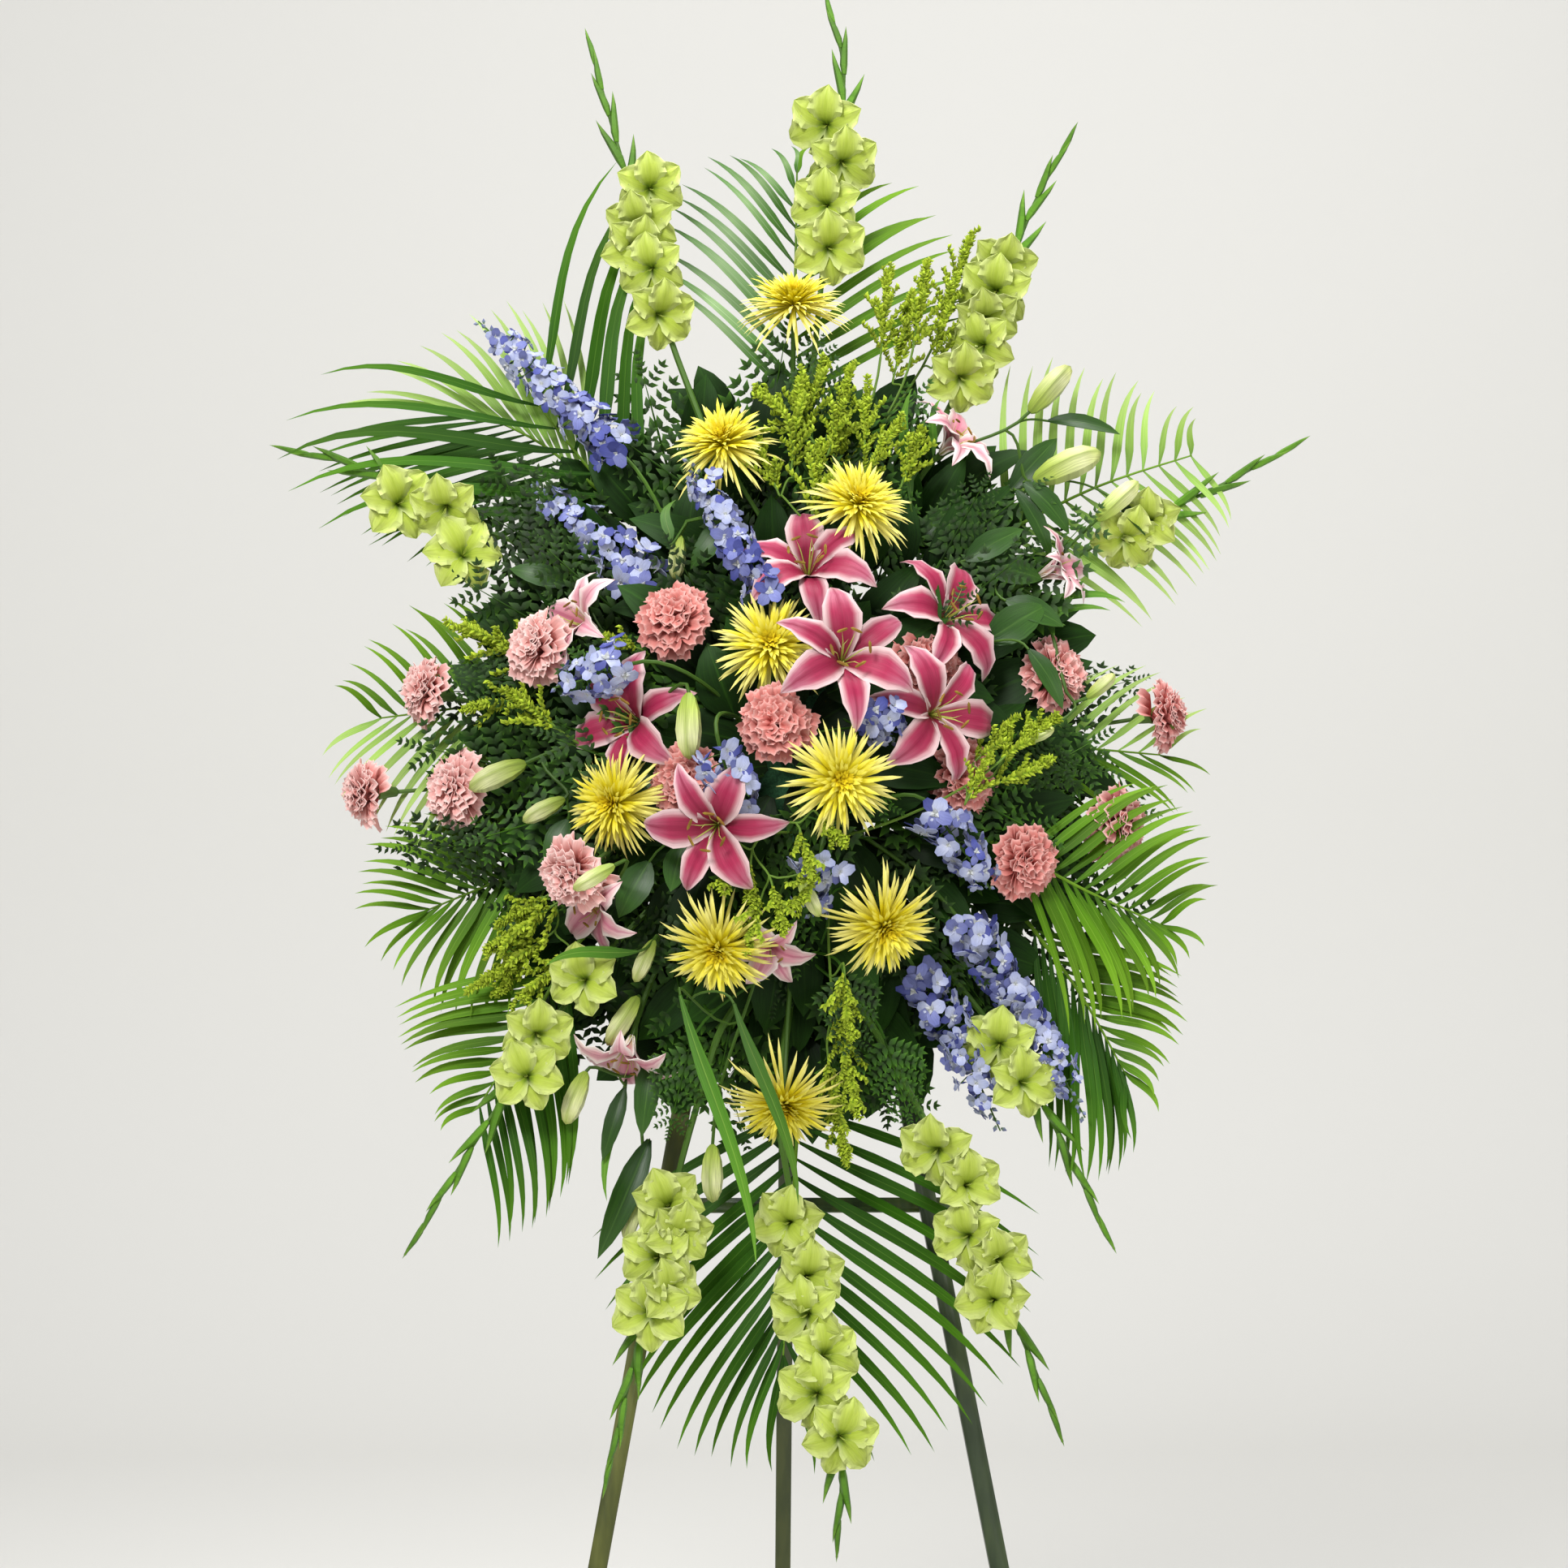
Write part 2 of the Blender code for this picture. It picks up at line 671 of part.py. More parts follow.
def lily_head(centre, facing, size, turn, opening):
    """A lily and the root of its stem: six petals, three broader and in front, swept back at their tips."""
    side, other = basis(facing, turn)
    reach = size / 2

    def at(angle, out, forward):
        wide = out * opening
        return centre + reach * (wide * (math.cos(angle) * side + math.sin(angle) * other) + forward * facing)

    points = [at(0, 0, -0.30)]
    faces = []
    sixth = math.tau / 6
    for k in range(6):
        points.append(at((k - 0.5) * sixth, 0.17, -0.16))
    for k in range(6):
        angle = k * sixth
        spread = 0.52 if k % 2 == 0 else 0.36
        rise = 0.03 if k % 2 == 0 else -0.08
        first = len(points)
        points += [
            at(angle, 0.50, -0.01 + rise),
            at(angle - spread, 0.60, 0.13 + rise),
            at(angle, 1.0, 0.02 + rise + draw.uniform(-0.06, 0.06) + (1 - opening) * 0.5),
            at(angle + spread, 0.60, 0.13 + rise),
        ]
        before, after = 1 + k, 1 + (k + 1) % 6
        middle, low, tip, high = range(first, first + 4)
        faces += [(0, before, middle), (before, low, middle), (low, tip, middle)]
        faces += [(tip, high, middle), (high, after, middle), (after, 0, middle)]
    solid = lens(points, faces, facing * -0.0032)
    solid = solid[0], [tuple(reversed(face)) for face in solid[1]]
    return solid, points[0] - facing * 0.0016


def carnation_rings(centre, facing, size, corner):
    """A carnation's rings from its green cup forward: two frilled tiers, each a zigzag."""
    reach = size / 2
    side = (corner - corner.project(facing)).normalized()
    side = Matrix.Rotation(-math.pi / 5, 3, facing) @ side
    other = facing.cross(side)
    frill = Matrix.Rotation(math.pi / 5, 3, facing) @ side
    across_frill = facing.cross(frill)
    rings = [ring_at(centre - facing * reach * 0.50, side, other, 0.0085, 5)]
    tiers = ((-0.02, 1.0, 0.80, -0.16), (0.16, 0.50, 0.44, 0), (0.42, 0.74, 0.52, -0.14))
    for high, outer, inner, lift in tiers:
        middle = centre + facing * reach * high
        rings.append(star_ring(middle, frill, across_frill, 5, reach * outer, reach * inner, reach * lift))
    return rings + [[centre + facing * reach * 0.30]]


def funnel(root, centre, lobes, outer, inner, cup, deep, turn):
    """A floret: a cup on its root, whose rim flares into lobes, open to the front."""
    side, other = basis((centre - root).normalized(), turn)
    rim = star_ring(centre, side, other, lobes, outer, inner, -cup)
    points = [root, *rim, root + (centre - root) * deep]
    count = 2 * lobes
    faces = []
    for k in range(count):
        a, b = 1 + k, 1 + (k + 1) % count
        faces.append((a, b, count + 1))
        if k % 2:
            c = 1 + (k + 2) % count
            faces += [(0, c, a), (a, c, b)]
    return points, faces


# Leaves


def on_curve(tips, share):
    """A point on the curve through three tips."""
    tip = (1 - share) ** 2 * tips[0] + share**2 * tips[2]
    return tip + 2 * share * (1 - share) * (2 * tips[1] - (tips[0] + tips[2]) / 2)


def leaflets(rings, rib, facing, count, right, left, width):
    """Carries a stem's rings on as a flat rib, with pointed leaflets that sprout from both its sides, whose
    tips lie on a curve through three. Each takes the first droop that keeps it clear, or is left out."""
    start = len(rings)
    stations = along_line(rib, count)
    for k, point in enumerate(stations[:-1]):
        ahead = (stations[k + 1] - stations[max(k - 1, 0)]).normalized()
        side = ahead.cross(facing).normalized()
        half = width / 2 * (1 - 0.6 * k / count)
        rings.append(oblong_at(point, side, ahead.cross(side), half, half * 0.7))
    rings.append([stations[-1]])
    side = (stations[-1] - stations[0]).cross(facing)
    first, second = sorted((left, right), key=lambda tips: (stations[0] - tips[1]).dot(side))
    sprouts = []
    for face, tips in ((3, first), (1, second)):
        for k in range(count - 1):
            low, high = rings[start + k], rings[start + k + 1]
            after = (face + 1) % 4
            base = [low[face], low[after], high[after], high[face]]
            middle = middle_of(base)
            for droop in DROOPS:
                tip = on_curve(tips, k / (count - 2)) + facing * droop
                if clear(skin([[p + (tip - middle) * 0.02 for p in base], [tip]])):
                    sprouts.append((start + k, face, [[tip]]))
                    break
    return sprouts


def lance(stalk, tip, width, facing):
    """A lance-shaped leaf on its stalk, with a ridge along its middle."""
    base = stalk[-1]
    way = tip - base
    arch = facing * way.length
    line = stalk + [base + way * 0.45 + arch * 0.06, base + way * 0.78 + arch * 0.05, tip]
    rings = []
    for k, point in enumerate(line[:-1]):
        ahead = (line[k + 1] - line[max(k - 1, 0)]).normalized()
        side = ahead.cross(facing).normalized()
        other = ahead.cross(side)
        wide = 0.0016
        if k >= len(stalk):
            wide = width / 2 * (1 if k == len(stalk) else 0.72)
        deep = other * 0.0014
        rings.append([point + side * wide, point + deep, point - side * wide, point - deep])
    return skin(rings + [[tip]])


# Growing each kind

ALL = 10000
unplaced = []
STEPS_BACK_AND_FORTH = [0, 0.014, -0.014, 0.028, -0.028, 0.042, -0.042, 0.056, -0.056, 0.07, 0.085, 0.10]
STEPS_ASIDE = ((0, 0), (14, 0), (-14, 0), (0, 14), (0, -14), (22, 16), (-22, -16))


def near_by(*spots):
    """Where the same spots may go instead: the places before and behind them, and then those beside them."""
    for right, down in STEPS_ASIDE:
        moved = [(x + right, y + down) for x, y in spots]
        for step in STEPS_BACK_AND_FORTH:
            yield *moved, step


def middle_of(points):
    return sum(points, Vector()) / len(points)


def forward_of(spot, forward, step=0):
    return spot_at(spot, (forward or dome(spot)) + step)


def leaned(spot, lean):
    return (outward(spot) + Vector((lean[0], 0, lean[1]))).normalized()


def along_line(line, count):
    """Points evenly along a line of points, both ends included."""
    lengths = [0]
    for a, b in zip(line, line[1:]):
        lengths.append(lengths[-1] + (b - a).length)
    found = []
    for k in range(count + 1):
        wanted = lengths[-1] * k / count
        low = min(bisect_right(lengths, wanted), len(line) - 1) - 1
        share = (wanted - lengths[low]) / (lengths[low + 1] - lengths[low])
        found.append(line[low].lerp(line[low + 1], share))
    return found


class Stems:
    """The stems of one node: the first goes on into the foam, and the others branch from it above it."""

    def __init__(self, name, target, radius):
        self.name, self.radius = name, radius
        self.begin, self.hub, self.out = entry(target, radius)
        self.shapes, self.heads, self.paths = [], [], []

    def own(self):
        return self.heads + [tree_of(tube(path[2:], [self.radius] * len(path[2:]))) for path in self.paths]

    def reach(self, end, way_in, radii, steps=5, tries=60):
        start = self.hub - self.out * 0.004 if self.paths else self.hub
        return route(start, self.out, end, way_in, radii, steps, tries, self.heads)

    def rings(self, path, radii, sides=4, last_side=None):
        """The rings of one more stem. The first goes on down into the foam."""
        sizes = tapered(radii, len(path))
        if self.paths:
            return tube_rings(path, sizes, sides, last_side)
        return tube_rings([self.begin] + path, [self.radius] + sizes, sides, last_side)

    def keep(self, path, rings):
        if not self.paths:
            drill(rings[0], self.begin, self.hub, self.radius)
        self.paths.append(path)
        return rings

    def add(self, shape, greens, guarded=None):
        """One more shape of the node. Later ones keep clear of its guarded part, or of all of it."""
        self.shapes.append((shape, greens))
        self.heads.append(tree_of(swollen(guarded or shape, CLEAR)))

    def join(self, kind):
        return fused(self.name, self.shapes, kind)


def mums(name, heads):
    stems = Stems(name, middle_of([forward_of(h[0], h[3]) for h in heads]), 0.0030)
    for spot, size, lean, forward in heads:
        facing = leaned(spot, lean)
        for place_at, step in near_by(spot):
            centre = forward_of(place_at, forward, step)
            head, root = mum_head(centre, facing, size, draw.uniform(0, math.tau))
            if clear(head, stems.own()):
                path = stems.reach(root, facing, (0.0027, 0.0023), 4)
                if path:
                    stems.shapes.append((skin(stems.keep(path, stems.rings(path, (0.0027, 0.0023)))), ALL))
                    stems.add(head, 0)
                    break
        else:
            unplaced.append((name, spot))
    return stems.join("mum")


def carnations(name, heads):
    stems = Stems(name, middle_of([forward_of(h[0], h[3]) for h in heads]), 0.0026)
    for spot, size, lean, forward in heads:
        facing = leaned(spot, lean)
        for place_at, step in near_by(spot):
            centre = forward_of(place_at, forward, step)
            if not clear(skin(carnation_rings(centre, facing, size, Vector((1, 0, 0)))), stems.own()):
                continue
            root = centre - facing * size * 0.56
            path = stems.reach(root, facing, (0.0023, 0.0026), 4)
            if path:
                rings = stems.rings(path, (0.0023, 0.0026), 5)
                head = carnation_rings(centre, facing, size, rings[-1][0] - path[-1])
                if not clear(skin(rings[-2:] + head), stems.own()):
                    continue
                stems.keep(path, rings)
                stems.add(skin(rings + head), 10 * len(rings) + 1, skin(head))
                break
        else:
            unplaced.append((name, spot))
    return stems.join("carnation")


# Spider mums: spot in the picture, size, extra lean across and up, and how far forward if not on the dome
MUM = 0.113
mum_bunches = {
    "mum_top": [((978, 372), MUM, (0, 0.5), 0.13)],
    "mums_upper": [((890, 545), MUM, (-0.1, 0.1), 0.17), ((1057, 620), MUM, (0.1, 0), 0.20)],
    "mums_middle": [
        ((949, 795), MUM, (0, 0), 0.23), ((757, 990), MUM, (-0.2, 0), 0.19), ((1036, 962), MUM, (0, 0), 0.27),
    ],
    "mums_lower": [
        ((885, 1170), MUM, (-0.1, -0.1), 0.20), ((1090, 1142), MUM, (0.1, -0.1), 0.21),
        ((952, 1362), MUM, (0, -0.4), 0.15),
    ],
}

# Carnations, in the same way
CARNATION = 0.078
carnation_bunches = {
    "carnations_left": [
        ((661, 797), CARNATION, (-0.2, 0), None), ((523, 851), CARNATION * 0.9, (-0.6, 0.1), None),
        ((450, 978), CARNATION * 0.9, (-0.9, -0.1), None), ((560, 975), CARNATION, (-0.2, 0), None),
        ((705, 1077), CARNATION, (-0.2, -0.2), None),
    ],
    "carnations_inner_left": [
        ((830, 762), CARNATION, (0, 0), None), ((846, 963), CARNATION, (0, 0), None),
        ((957, 890), CARNATION, (0, 0), None),
    ],
    "carnations_inner_right": [
        ((1154, 816), CARNATION, (0, 0), 0.17), ((1186, 958), CARNATION, (0, 0), None),
        ((1264, 1062), CARNATION, (0, 0), None),
    ],
    "carnations_right": [
        ((1304, 830), CARNATION, (0.2, 0), None), ((1438, 880), CARNATION * 0.9, (0.9, 0.1), None),
        ((1381, 1015), CARNATION, (0.2, 0), None),
    ],
}

# Lily stems: flowers as spot, size, lean, how far forward and how far open; buds as base spot, tip spot and
# how far forward; and leaves as those and their width
LILY = 0.160
lily_stems = {
    "lily_top": {
        "flowers": [((1173, 545), 0.13, (0.9, 0.5), None, 0.75)],
        "buds": [((1300, 515), (1316, 440), 0.08), ((1290, 590), (1350, 560), 0.09)],
        "leaves": [
            ((1240, 600), (1300, 535), 0.085, 0.028), ((1250, 640), (1345, 610), 0.08, 0.026),
            ((1125, 600), (1120, 480), 0.12, 0.02),
        ],
    },
    "lily_right": {
        "flowers": [
            ((1175, 755), LILY, (0.3, 0.1), None, 1), ((1160, 878), LILY, (0.2, -0.1), None, 1),
            ((1296, 704), 0.12, (1.2, 0.3), None, 0.6),
        ],
        "buds": [
            ((1352, 640), (1404, 592), 0.10), ((1340, 860), (1375, 830), 0.12),
            ((1262, 915), (1300, 897), 0.16),
        ],
        "leaves": [((1215, 790), (1290, 745), 0.15, 0.040), ((1230, 840), (1345, 815), 0.14, 0.022)],
    },
    "lily_centre": {
        "flowers": [((1042, 808), 0.168, (0.05, 0), 0.27, 1), ((995, 695), LILY, (-0.1, 0.2), 0.21, 1)],
        "buds": [((838, 660), (832, 715), 0.16)],
        "leaves": [((905, 640), (830, 625), 0.15, 0.024)],
    },
    "lily_left": {
        "flowers": [((775, 888), LILY, (-0.3, 0), None, 1), ((718, 768), 0.135, (-0.9, 0.3), None, 0.8)],
        "buds": [
            ((849, 860), (849, 930), 0.24), ((640, 945), (590, 965), 0.13), ((700, 985), (648, 1010), 0.14),
        ],
        "leaves": [((700, 720), (628, 700), 0.10, 0.026)],
    },
    "lily_lower": {
        "flowers": [((878, 1020), LILY, (-0.1, -0.1), 0.25, 1), ((947, 1162), 0.12, (0.1, -0.3), 0.20, 0.6)],
        "buds": [((878, 1410), (878, 1482), 0.11), ((985, 1080), (1010, 1130), 0.22)],
        "leaves": [((850, 1240), (905, 1400), 0.12, 0.018), ((910, 1250), (985, 1460), 0.11, 0.018)],
    },
    "lily_low_left": {
        "flowers": [
            ((738, 1112), 0.14, (-0.7, -0.5), None, 0.9), ((773, 1295), 0.13, (-0.2, -1.2), None, 0.8),
        ],
        "buds": [
            ((751, 1068), (715, 1092), 0.16), ((812, 1190), (775, 1222), 0.15),
            ((772, 1480), (757, 1535), 0.07), ((722, 1320), (697, 1385), 0.09),
        ],
        "leaves": [((790, 1400), (738, 1545), 0.075, 0.030)],
    },
}


def leaf_on(stems, base, tip, width, facing):
    """A leaf from here to its tip, with a stalk from one of the node's stems, or nothing if none is clear."""
    starts = sorted([point for path in stems.paths for point in path[1:-1]], key=lambda s: (s - base).length)
    for start in starts[:6]:
        leave = (base - start).normalized()
        stalk = route(start, leave, base, (tip - base).normalized(), (0.0016, 0.0016), 3, 30, stems.heads)
        if stalk and clear(lance(stalk[-1:], tip, width, facing), stems.heads):
            return lance(stalk, tip, width, facing)
    return None


def lily(name, data):
    """A lily stem: open flowers, then buds and leaves on the stems of the flowers, all from one hole."""
    flowers = data["flowers"]
    stems = Stems(name, middle_of([forward_of(f[0], f[3]) for f in flowers]), 0.0034)
    for spot, size, lean, forward, opening in flowers:
        facing = leaned(spot, lean)
        for place_at, step in near_by(spot):
            centre = forward_of(place_at, forward, step)
            head, root = lily_head(centre, facing, size, draw.uniform(0, math.tau), opening)
            if clear(head, stems.own()):
                path = stems.reach(root, facing, (0.0030, 0.0032), 4)
                if path:
                    stems.shapes.append((skin(stems.keep(path, stems.rings(path, (0.0030, 0.0032)))), ALL))
                    stems.add(head, 0)
                    break
        else:
            unplaced.append((name, spot))
    for low, high, forward in data["buds"]:
        for base_at, tip_at, step in near_by(low, high):
            base, tip = spot_at(base_at, forward + step), spot_at(tip_at, forward + step)
            way = tip - base
            swell = [base + way * 0.28, base + way * 0.8, tip]
            if not clear(tube([base, *swell], [0.002, 0.0095, 0.0100, 0], 4), stems.own()):
                continue
            starts = [path[k] for path in stems.paths for k in (1, 2)]
            starts.sort(key=lambda s: (s - base).length)
            for start in starts:
                leave = (base - start).normalized()
                path = route(start, leave, base, way.normalized(), (0.0020, 0.0018), 3, 24, stems.heads)
                if path:
                    break
            if path:
                stems.add(tube(path + swell, [0.0020, 0.0019, 0.0018, 0.0095, 0.0100, 0], 4), ALL)
                break
        else:
            unplaced.append((name, low))
    for low, high, forward, width in data["leaves"]:
        for base_at, tip_at, step in near_by(low, high):
            base, tip = spot_at(base_at, forward + step), spot_at(tip_at, forward + step)
            shape = leaf_on(stems, base, tip, width, outward(low, 0.6))
            if shape:
                stems.add(shape, ALL)
                break
        else:
            unplaced.append((name, low))
    return stems.join("lily")


# How far a floret stands out of its stem, its size, and whether it may run into its neighbours
GLADIOLUS_TRIES = []
for stand in (0.034, 0.046, 0.026, 0.058, 0.068):
    GLADIOLUS_TRIES += [(stand, 0.041, False), (stand, 0.037, False), (stand, 0.033, False)] * 3
GLADIOLUS_TRIES += [(0.034, 0.038, True), (0.046, 0.036, True), (0.026, 0.036, True), (0.056, 0.034, True)]

# Gladioli: the stem's spots outwards to its tip, its open florets, and how far forward it starts and ends
gladioli = {
    "gladiolus_top": {
        "stem": [(1000, 470), (1014, 330), (1028, 200), (1040, 90), (1020, 2)],
        "florets": [(1020, 303), (1018, 250), (1038, 201), (1018, 154)],
        "forward": (0.085, 0.05),
        "buds": 4,
    },
    "gladiolus_top_left": {
        "stem": [(880, 560), (820, 400), (795, 290), (764, 190), (726, 54)],
        "florets": [(813, 388), (804, 330), (782, 308), (791, 277), (800, 232)],
        "forward": (0.09, 0.05),
        "buds": 5,
    },
    "gladiolus_top_right": {
        "stem": [(1120, 600), (1190, 460), (1235, 350), (1275, 250), (1320, 165)],
        "florets": [(1186, 460), (1212, 424), (1212, 388), (1230, 357), (1235, 321)],
        "forward": (0.09, 0.05),
        "buds": 4,
    },
    "gladiolus_left": {
        "stem": [(760, 740), (640, 670), (545, 640), (450, 580), (353, 554)],
        "florets": [(570, 683), (550, 625), (492, 620)],
        "forward": (0.08, 0.05),
        "buds": 5,
    },
    "gladiolus_right": {
        "stem": [(1200, 770), (1310, 695), (1400, 645), (1500, 600), (1600, 545)],
        "florets": [(1391, 660), (1418, 643)],
        "forward": (0.08, 0.05),
        "buds": 6,
    },
    "gladiolus_low_left": {
        "stem": [(830, 1090), (725, 1200), (655, 1300), (590, 1400), (507, 1533)],
        "florets": [(719, 1206), (661, 1270), (652, 1324)],
        "forward": (0.10, 0.07),
        "buds": 5,
    },
    "gladiolus_bottom_left": {
        "stem": [(880, 1290), (840, 1430), (812, 1560), (780, 1680), (747, 1826)],
        "florets": [(827, 1480), (822, 1517), (808, 1545), (813, 1597), (775, 1615)],
        "forward": (0.12, 0.10),
        "buds": 5,
    },
    "gladiolus_bottom": {
        "stem": [(965, 1420), (985, 1540), (1005, 1680), (1035, 1800), (1032, 1905)],
        "florets": [(972, 1502), (991, 1569), (993, 1617), (1017, 1665), (1006, 1714), (1036, 1769)],
        "forward": (0.13, 0.10),
        "buds": 3,
    },
    "gladiolus_bottom_right": {
        "stem": [(1090, 1290), (1160, 1420), (1210, 1540), (1260, 1650), (1305, 1765)],
        "florets": [(1154, 1417), (1191, 1458), (1191, 1521), (1229, 1554), (1225, 1599)],
        "forward": (0.12, 0.09),
        "buds": 4,
    },
    "gladiolus_low_right": {
        "stem": [(1130, 1150), (1230, 1275), (1290, 1370), (1330, 1450), (1368, 1528)],
        "florets": [(1233, 1286), (1261, 1334)],
        "forward": (0.10, 0.06),
        "buds": 5,
    },
}


def smooth_through(points, steps):
    """Points on a smooth line through a few: each stretch is a curve that meets its neighbours straight."""
    line = [points[0]]
    for k in range(len(points) - 1):
        before = points[max(k - 1, 0)]
        after = points[min(k + 2, len(points) - 1)]
        low, high = points[k], points[k + 1]
        handle = low + (high - before) / 6
        other = high - (after - low) / 6
        line += interpolate_bezier(low, handle, other, high, steps + 1)[1:]
    return line


def nearest_on(line, point):
    best = None
    for a, b in zip(line, line[1:]):
        way = b - a
        share = max(0, min(1, (point - a).dot(way) / way.length_squared))
        found = a + way * share
        if best is None or (found - point).length < (best[0] - point).length:
            best = (found, way.normalized())
    return best


def bud_rings(base, ahead, tip, radius):
    """The rings of a bud that sprouts from a stretch of stem: one round its middle, and its point."""
    way = (tip - base).normalized()
    side = Matrix.Rotation(-math.pi / 4, 3, way) @ (-ahead - (-ahead).project(way)).normalized()
    side = Matrix.Rotation(-math.pi / 4, 3, way) @ side
    return [ring_at(base.lerp(tip, 0.5), side, way.cross(side), radius, 4), [tip]]


def spine_of(guide, last_floret, buds):
    """A gladiolus stem's middle line: long stretches up to its last floret, then one for each bud."""
    turn_point = min(range(1, len(guide) - 1), key=lambda k: (guide[k] - last_floret).length)
    low, high = guide[: turn_point + 1], guide[turn_point:]
    length = sum((b - a).length for a, b in zip(low, low[1:]))
    return along_line(low, max(2, round(length / 0.075)))[:-1], along_line(high, buds)


def gladiolus(name, data):
    """One spike: the stem, open florets on its front, and buds that sprout in two ranks to the tip."""
    radius = 0.0040
    spots, (near, far) = data["stem"], data["forward"]
    buds = data["buds"] + 1
    for step in STEPS_BACK_AND_FORTH:
        line = [spot_at(s, near + (far - near) * k / (len(spots) - 1) + step) for k, s in enumerate(spots)]
        last_floret = spot_at(data["florets"][-1], (near + far) / 2 + step)
        low, spike = spine_of(smooth_through(line, 4), last_floret, buds)
        path = low + spike
        if not clear(tube(path, tapered((radius, radius * 0.5), len(path)), 8)):
            continue
        found = entry(path[0], radius)
        if not found:
            continue
        begin, hub, out = found
        way = (path[1] - path[0]).normalized()
        lower = route(hub, out, path[0], way, (radius, radius), 4, 120)
        if lower:
            break
        foam_entries.pop()
    else:
        unplaced.append((name, spots[0]))
        return
    toward = (EYE - path[-1]).normalized()
    whole = [begin] + lower[:-1] + path
    sizes = [radius] * len(lower) + tapered((radius * 0.9, radius * 0.45), len(path))
    rings = tube_rings(whole, sizes, 4, toward)
    drill(rings[0], begin, hub, radius)
    sprouts = []
    first = len(whole) - len(spike)
    for k in range(1, buds):
        share = k / buds
        low, high = spike[k], spike[k + 1]
        ahead = (high - low).normalized()
        face = 0 if k % 2 else 2
        sideways = ahead.cross(toward).normalized() * (1 if face == 0 else -1)
        length = 0.046 * (1 - 0.45 * share)
        middle = (low + high) / 2
        tip = middle + ahead * length * 0.85 + sideways * length * 0.36
        rings_out = bud_rings(middle, ahead, tip, 0.0078 * (1 - 0.35 * share))
        if clear(skin([[p + sideways * 0.003 for p in rings_out[0]], [tip]])):
            sprouts.append((first + k, face, rings_out))
    tip = whole[-1] + (whole[-1] - whole[-2]).normalized() * 0.022
    stem = skin(rings + [[tip]], sprouts)
    shapes = [(stem, ALL)]
    own = []
    for spot in data["florets"]:
        guess = spot_at(spot, (near + far) / 2)
        on_stem, way = nearest_on(whole, guess)
        root = nearest_on(whole, on_stem - way * 0.012)[0]
        toward = (EYE - guess).normalized()
        sideways = (guess - on_stem) * 0.9
        for stand, size, mixed in GLADIOLUS_TRIES:
            centre = on_stem + sideways + toward * (stand - sideways.dot(toward))
            centre += way * draw.uniform(0, 0.01)
            shape = funnel(root, centre, 5, size, size * 0.64, size * 0.44, 0.30, draw.uniform(0, 6))
            if clear(shape, () if mixed else own):
                shapes.append((shape, 0))
                own.append(tree_of(shape))
                break
        else:
            unplaced.append((name, spot))
    fused(name, shapes, "gladiolus")


# Which side of the stem each floret sprouts from, and how far it turns that way
FLORET_SIDES = ((0, 0.9), (3, 0.0), (2, -0.9), (3, 0.2))

# Delphiniums: each spike's spots outwards, how far forward, and its florets
delphinium_groups = {
    "delphinium_upper_left": [
        ([(769, 562), (670, 470), (590, 397)], 0.10, 6),
        ([(803, 723), (735, 660), (657, 598)], 0.13, 6),
    ],
    "delphinium_upper": [([(950, 735), (895, 650), (848, 566)], 0.22, 7)],
    "delphinium_left": [
        ([(774, 819), (729, 835), (682, 848)], 0.19, 5),
        ([(887, 921), (900, 960), (930, 1000)], 0.27, 5),
    ],
    "delphinium_right": [
        ([(1011, 1055), (1008, 1090), (1000, 1130)], 0.25, 4),
        ([(1148, 994), (1185, 1045), (1221, 1096)], 0.19, 6),
        ([(1127, 1193), (1185, 1290), (1233, 1394)], 0.13, 7),
        ([(1180, 1130), (1260, 1240), (1338, 1378)], 0.12, 7),
        ([(1075, 870), (1090, 892), (1100, 915)], 0.25, 3),
    ],
}


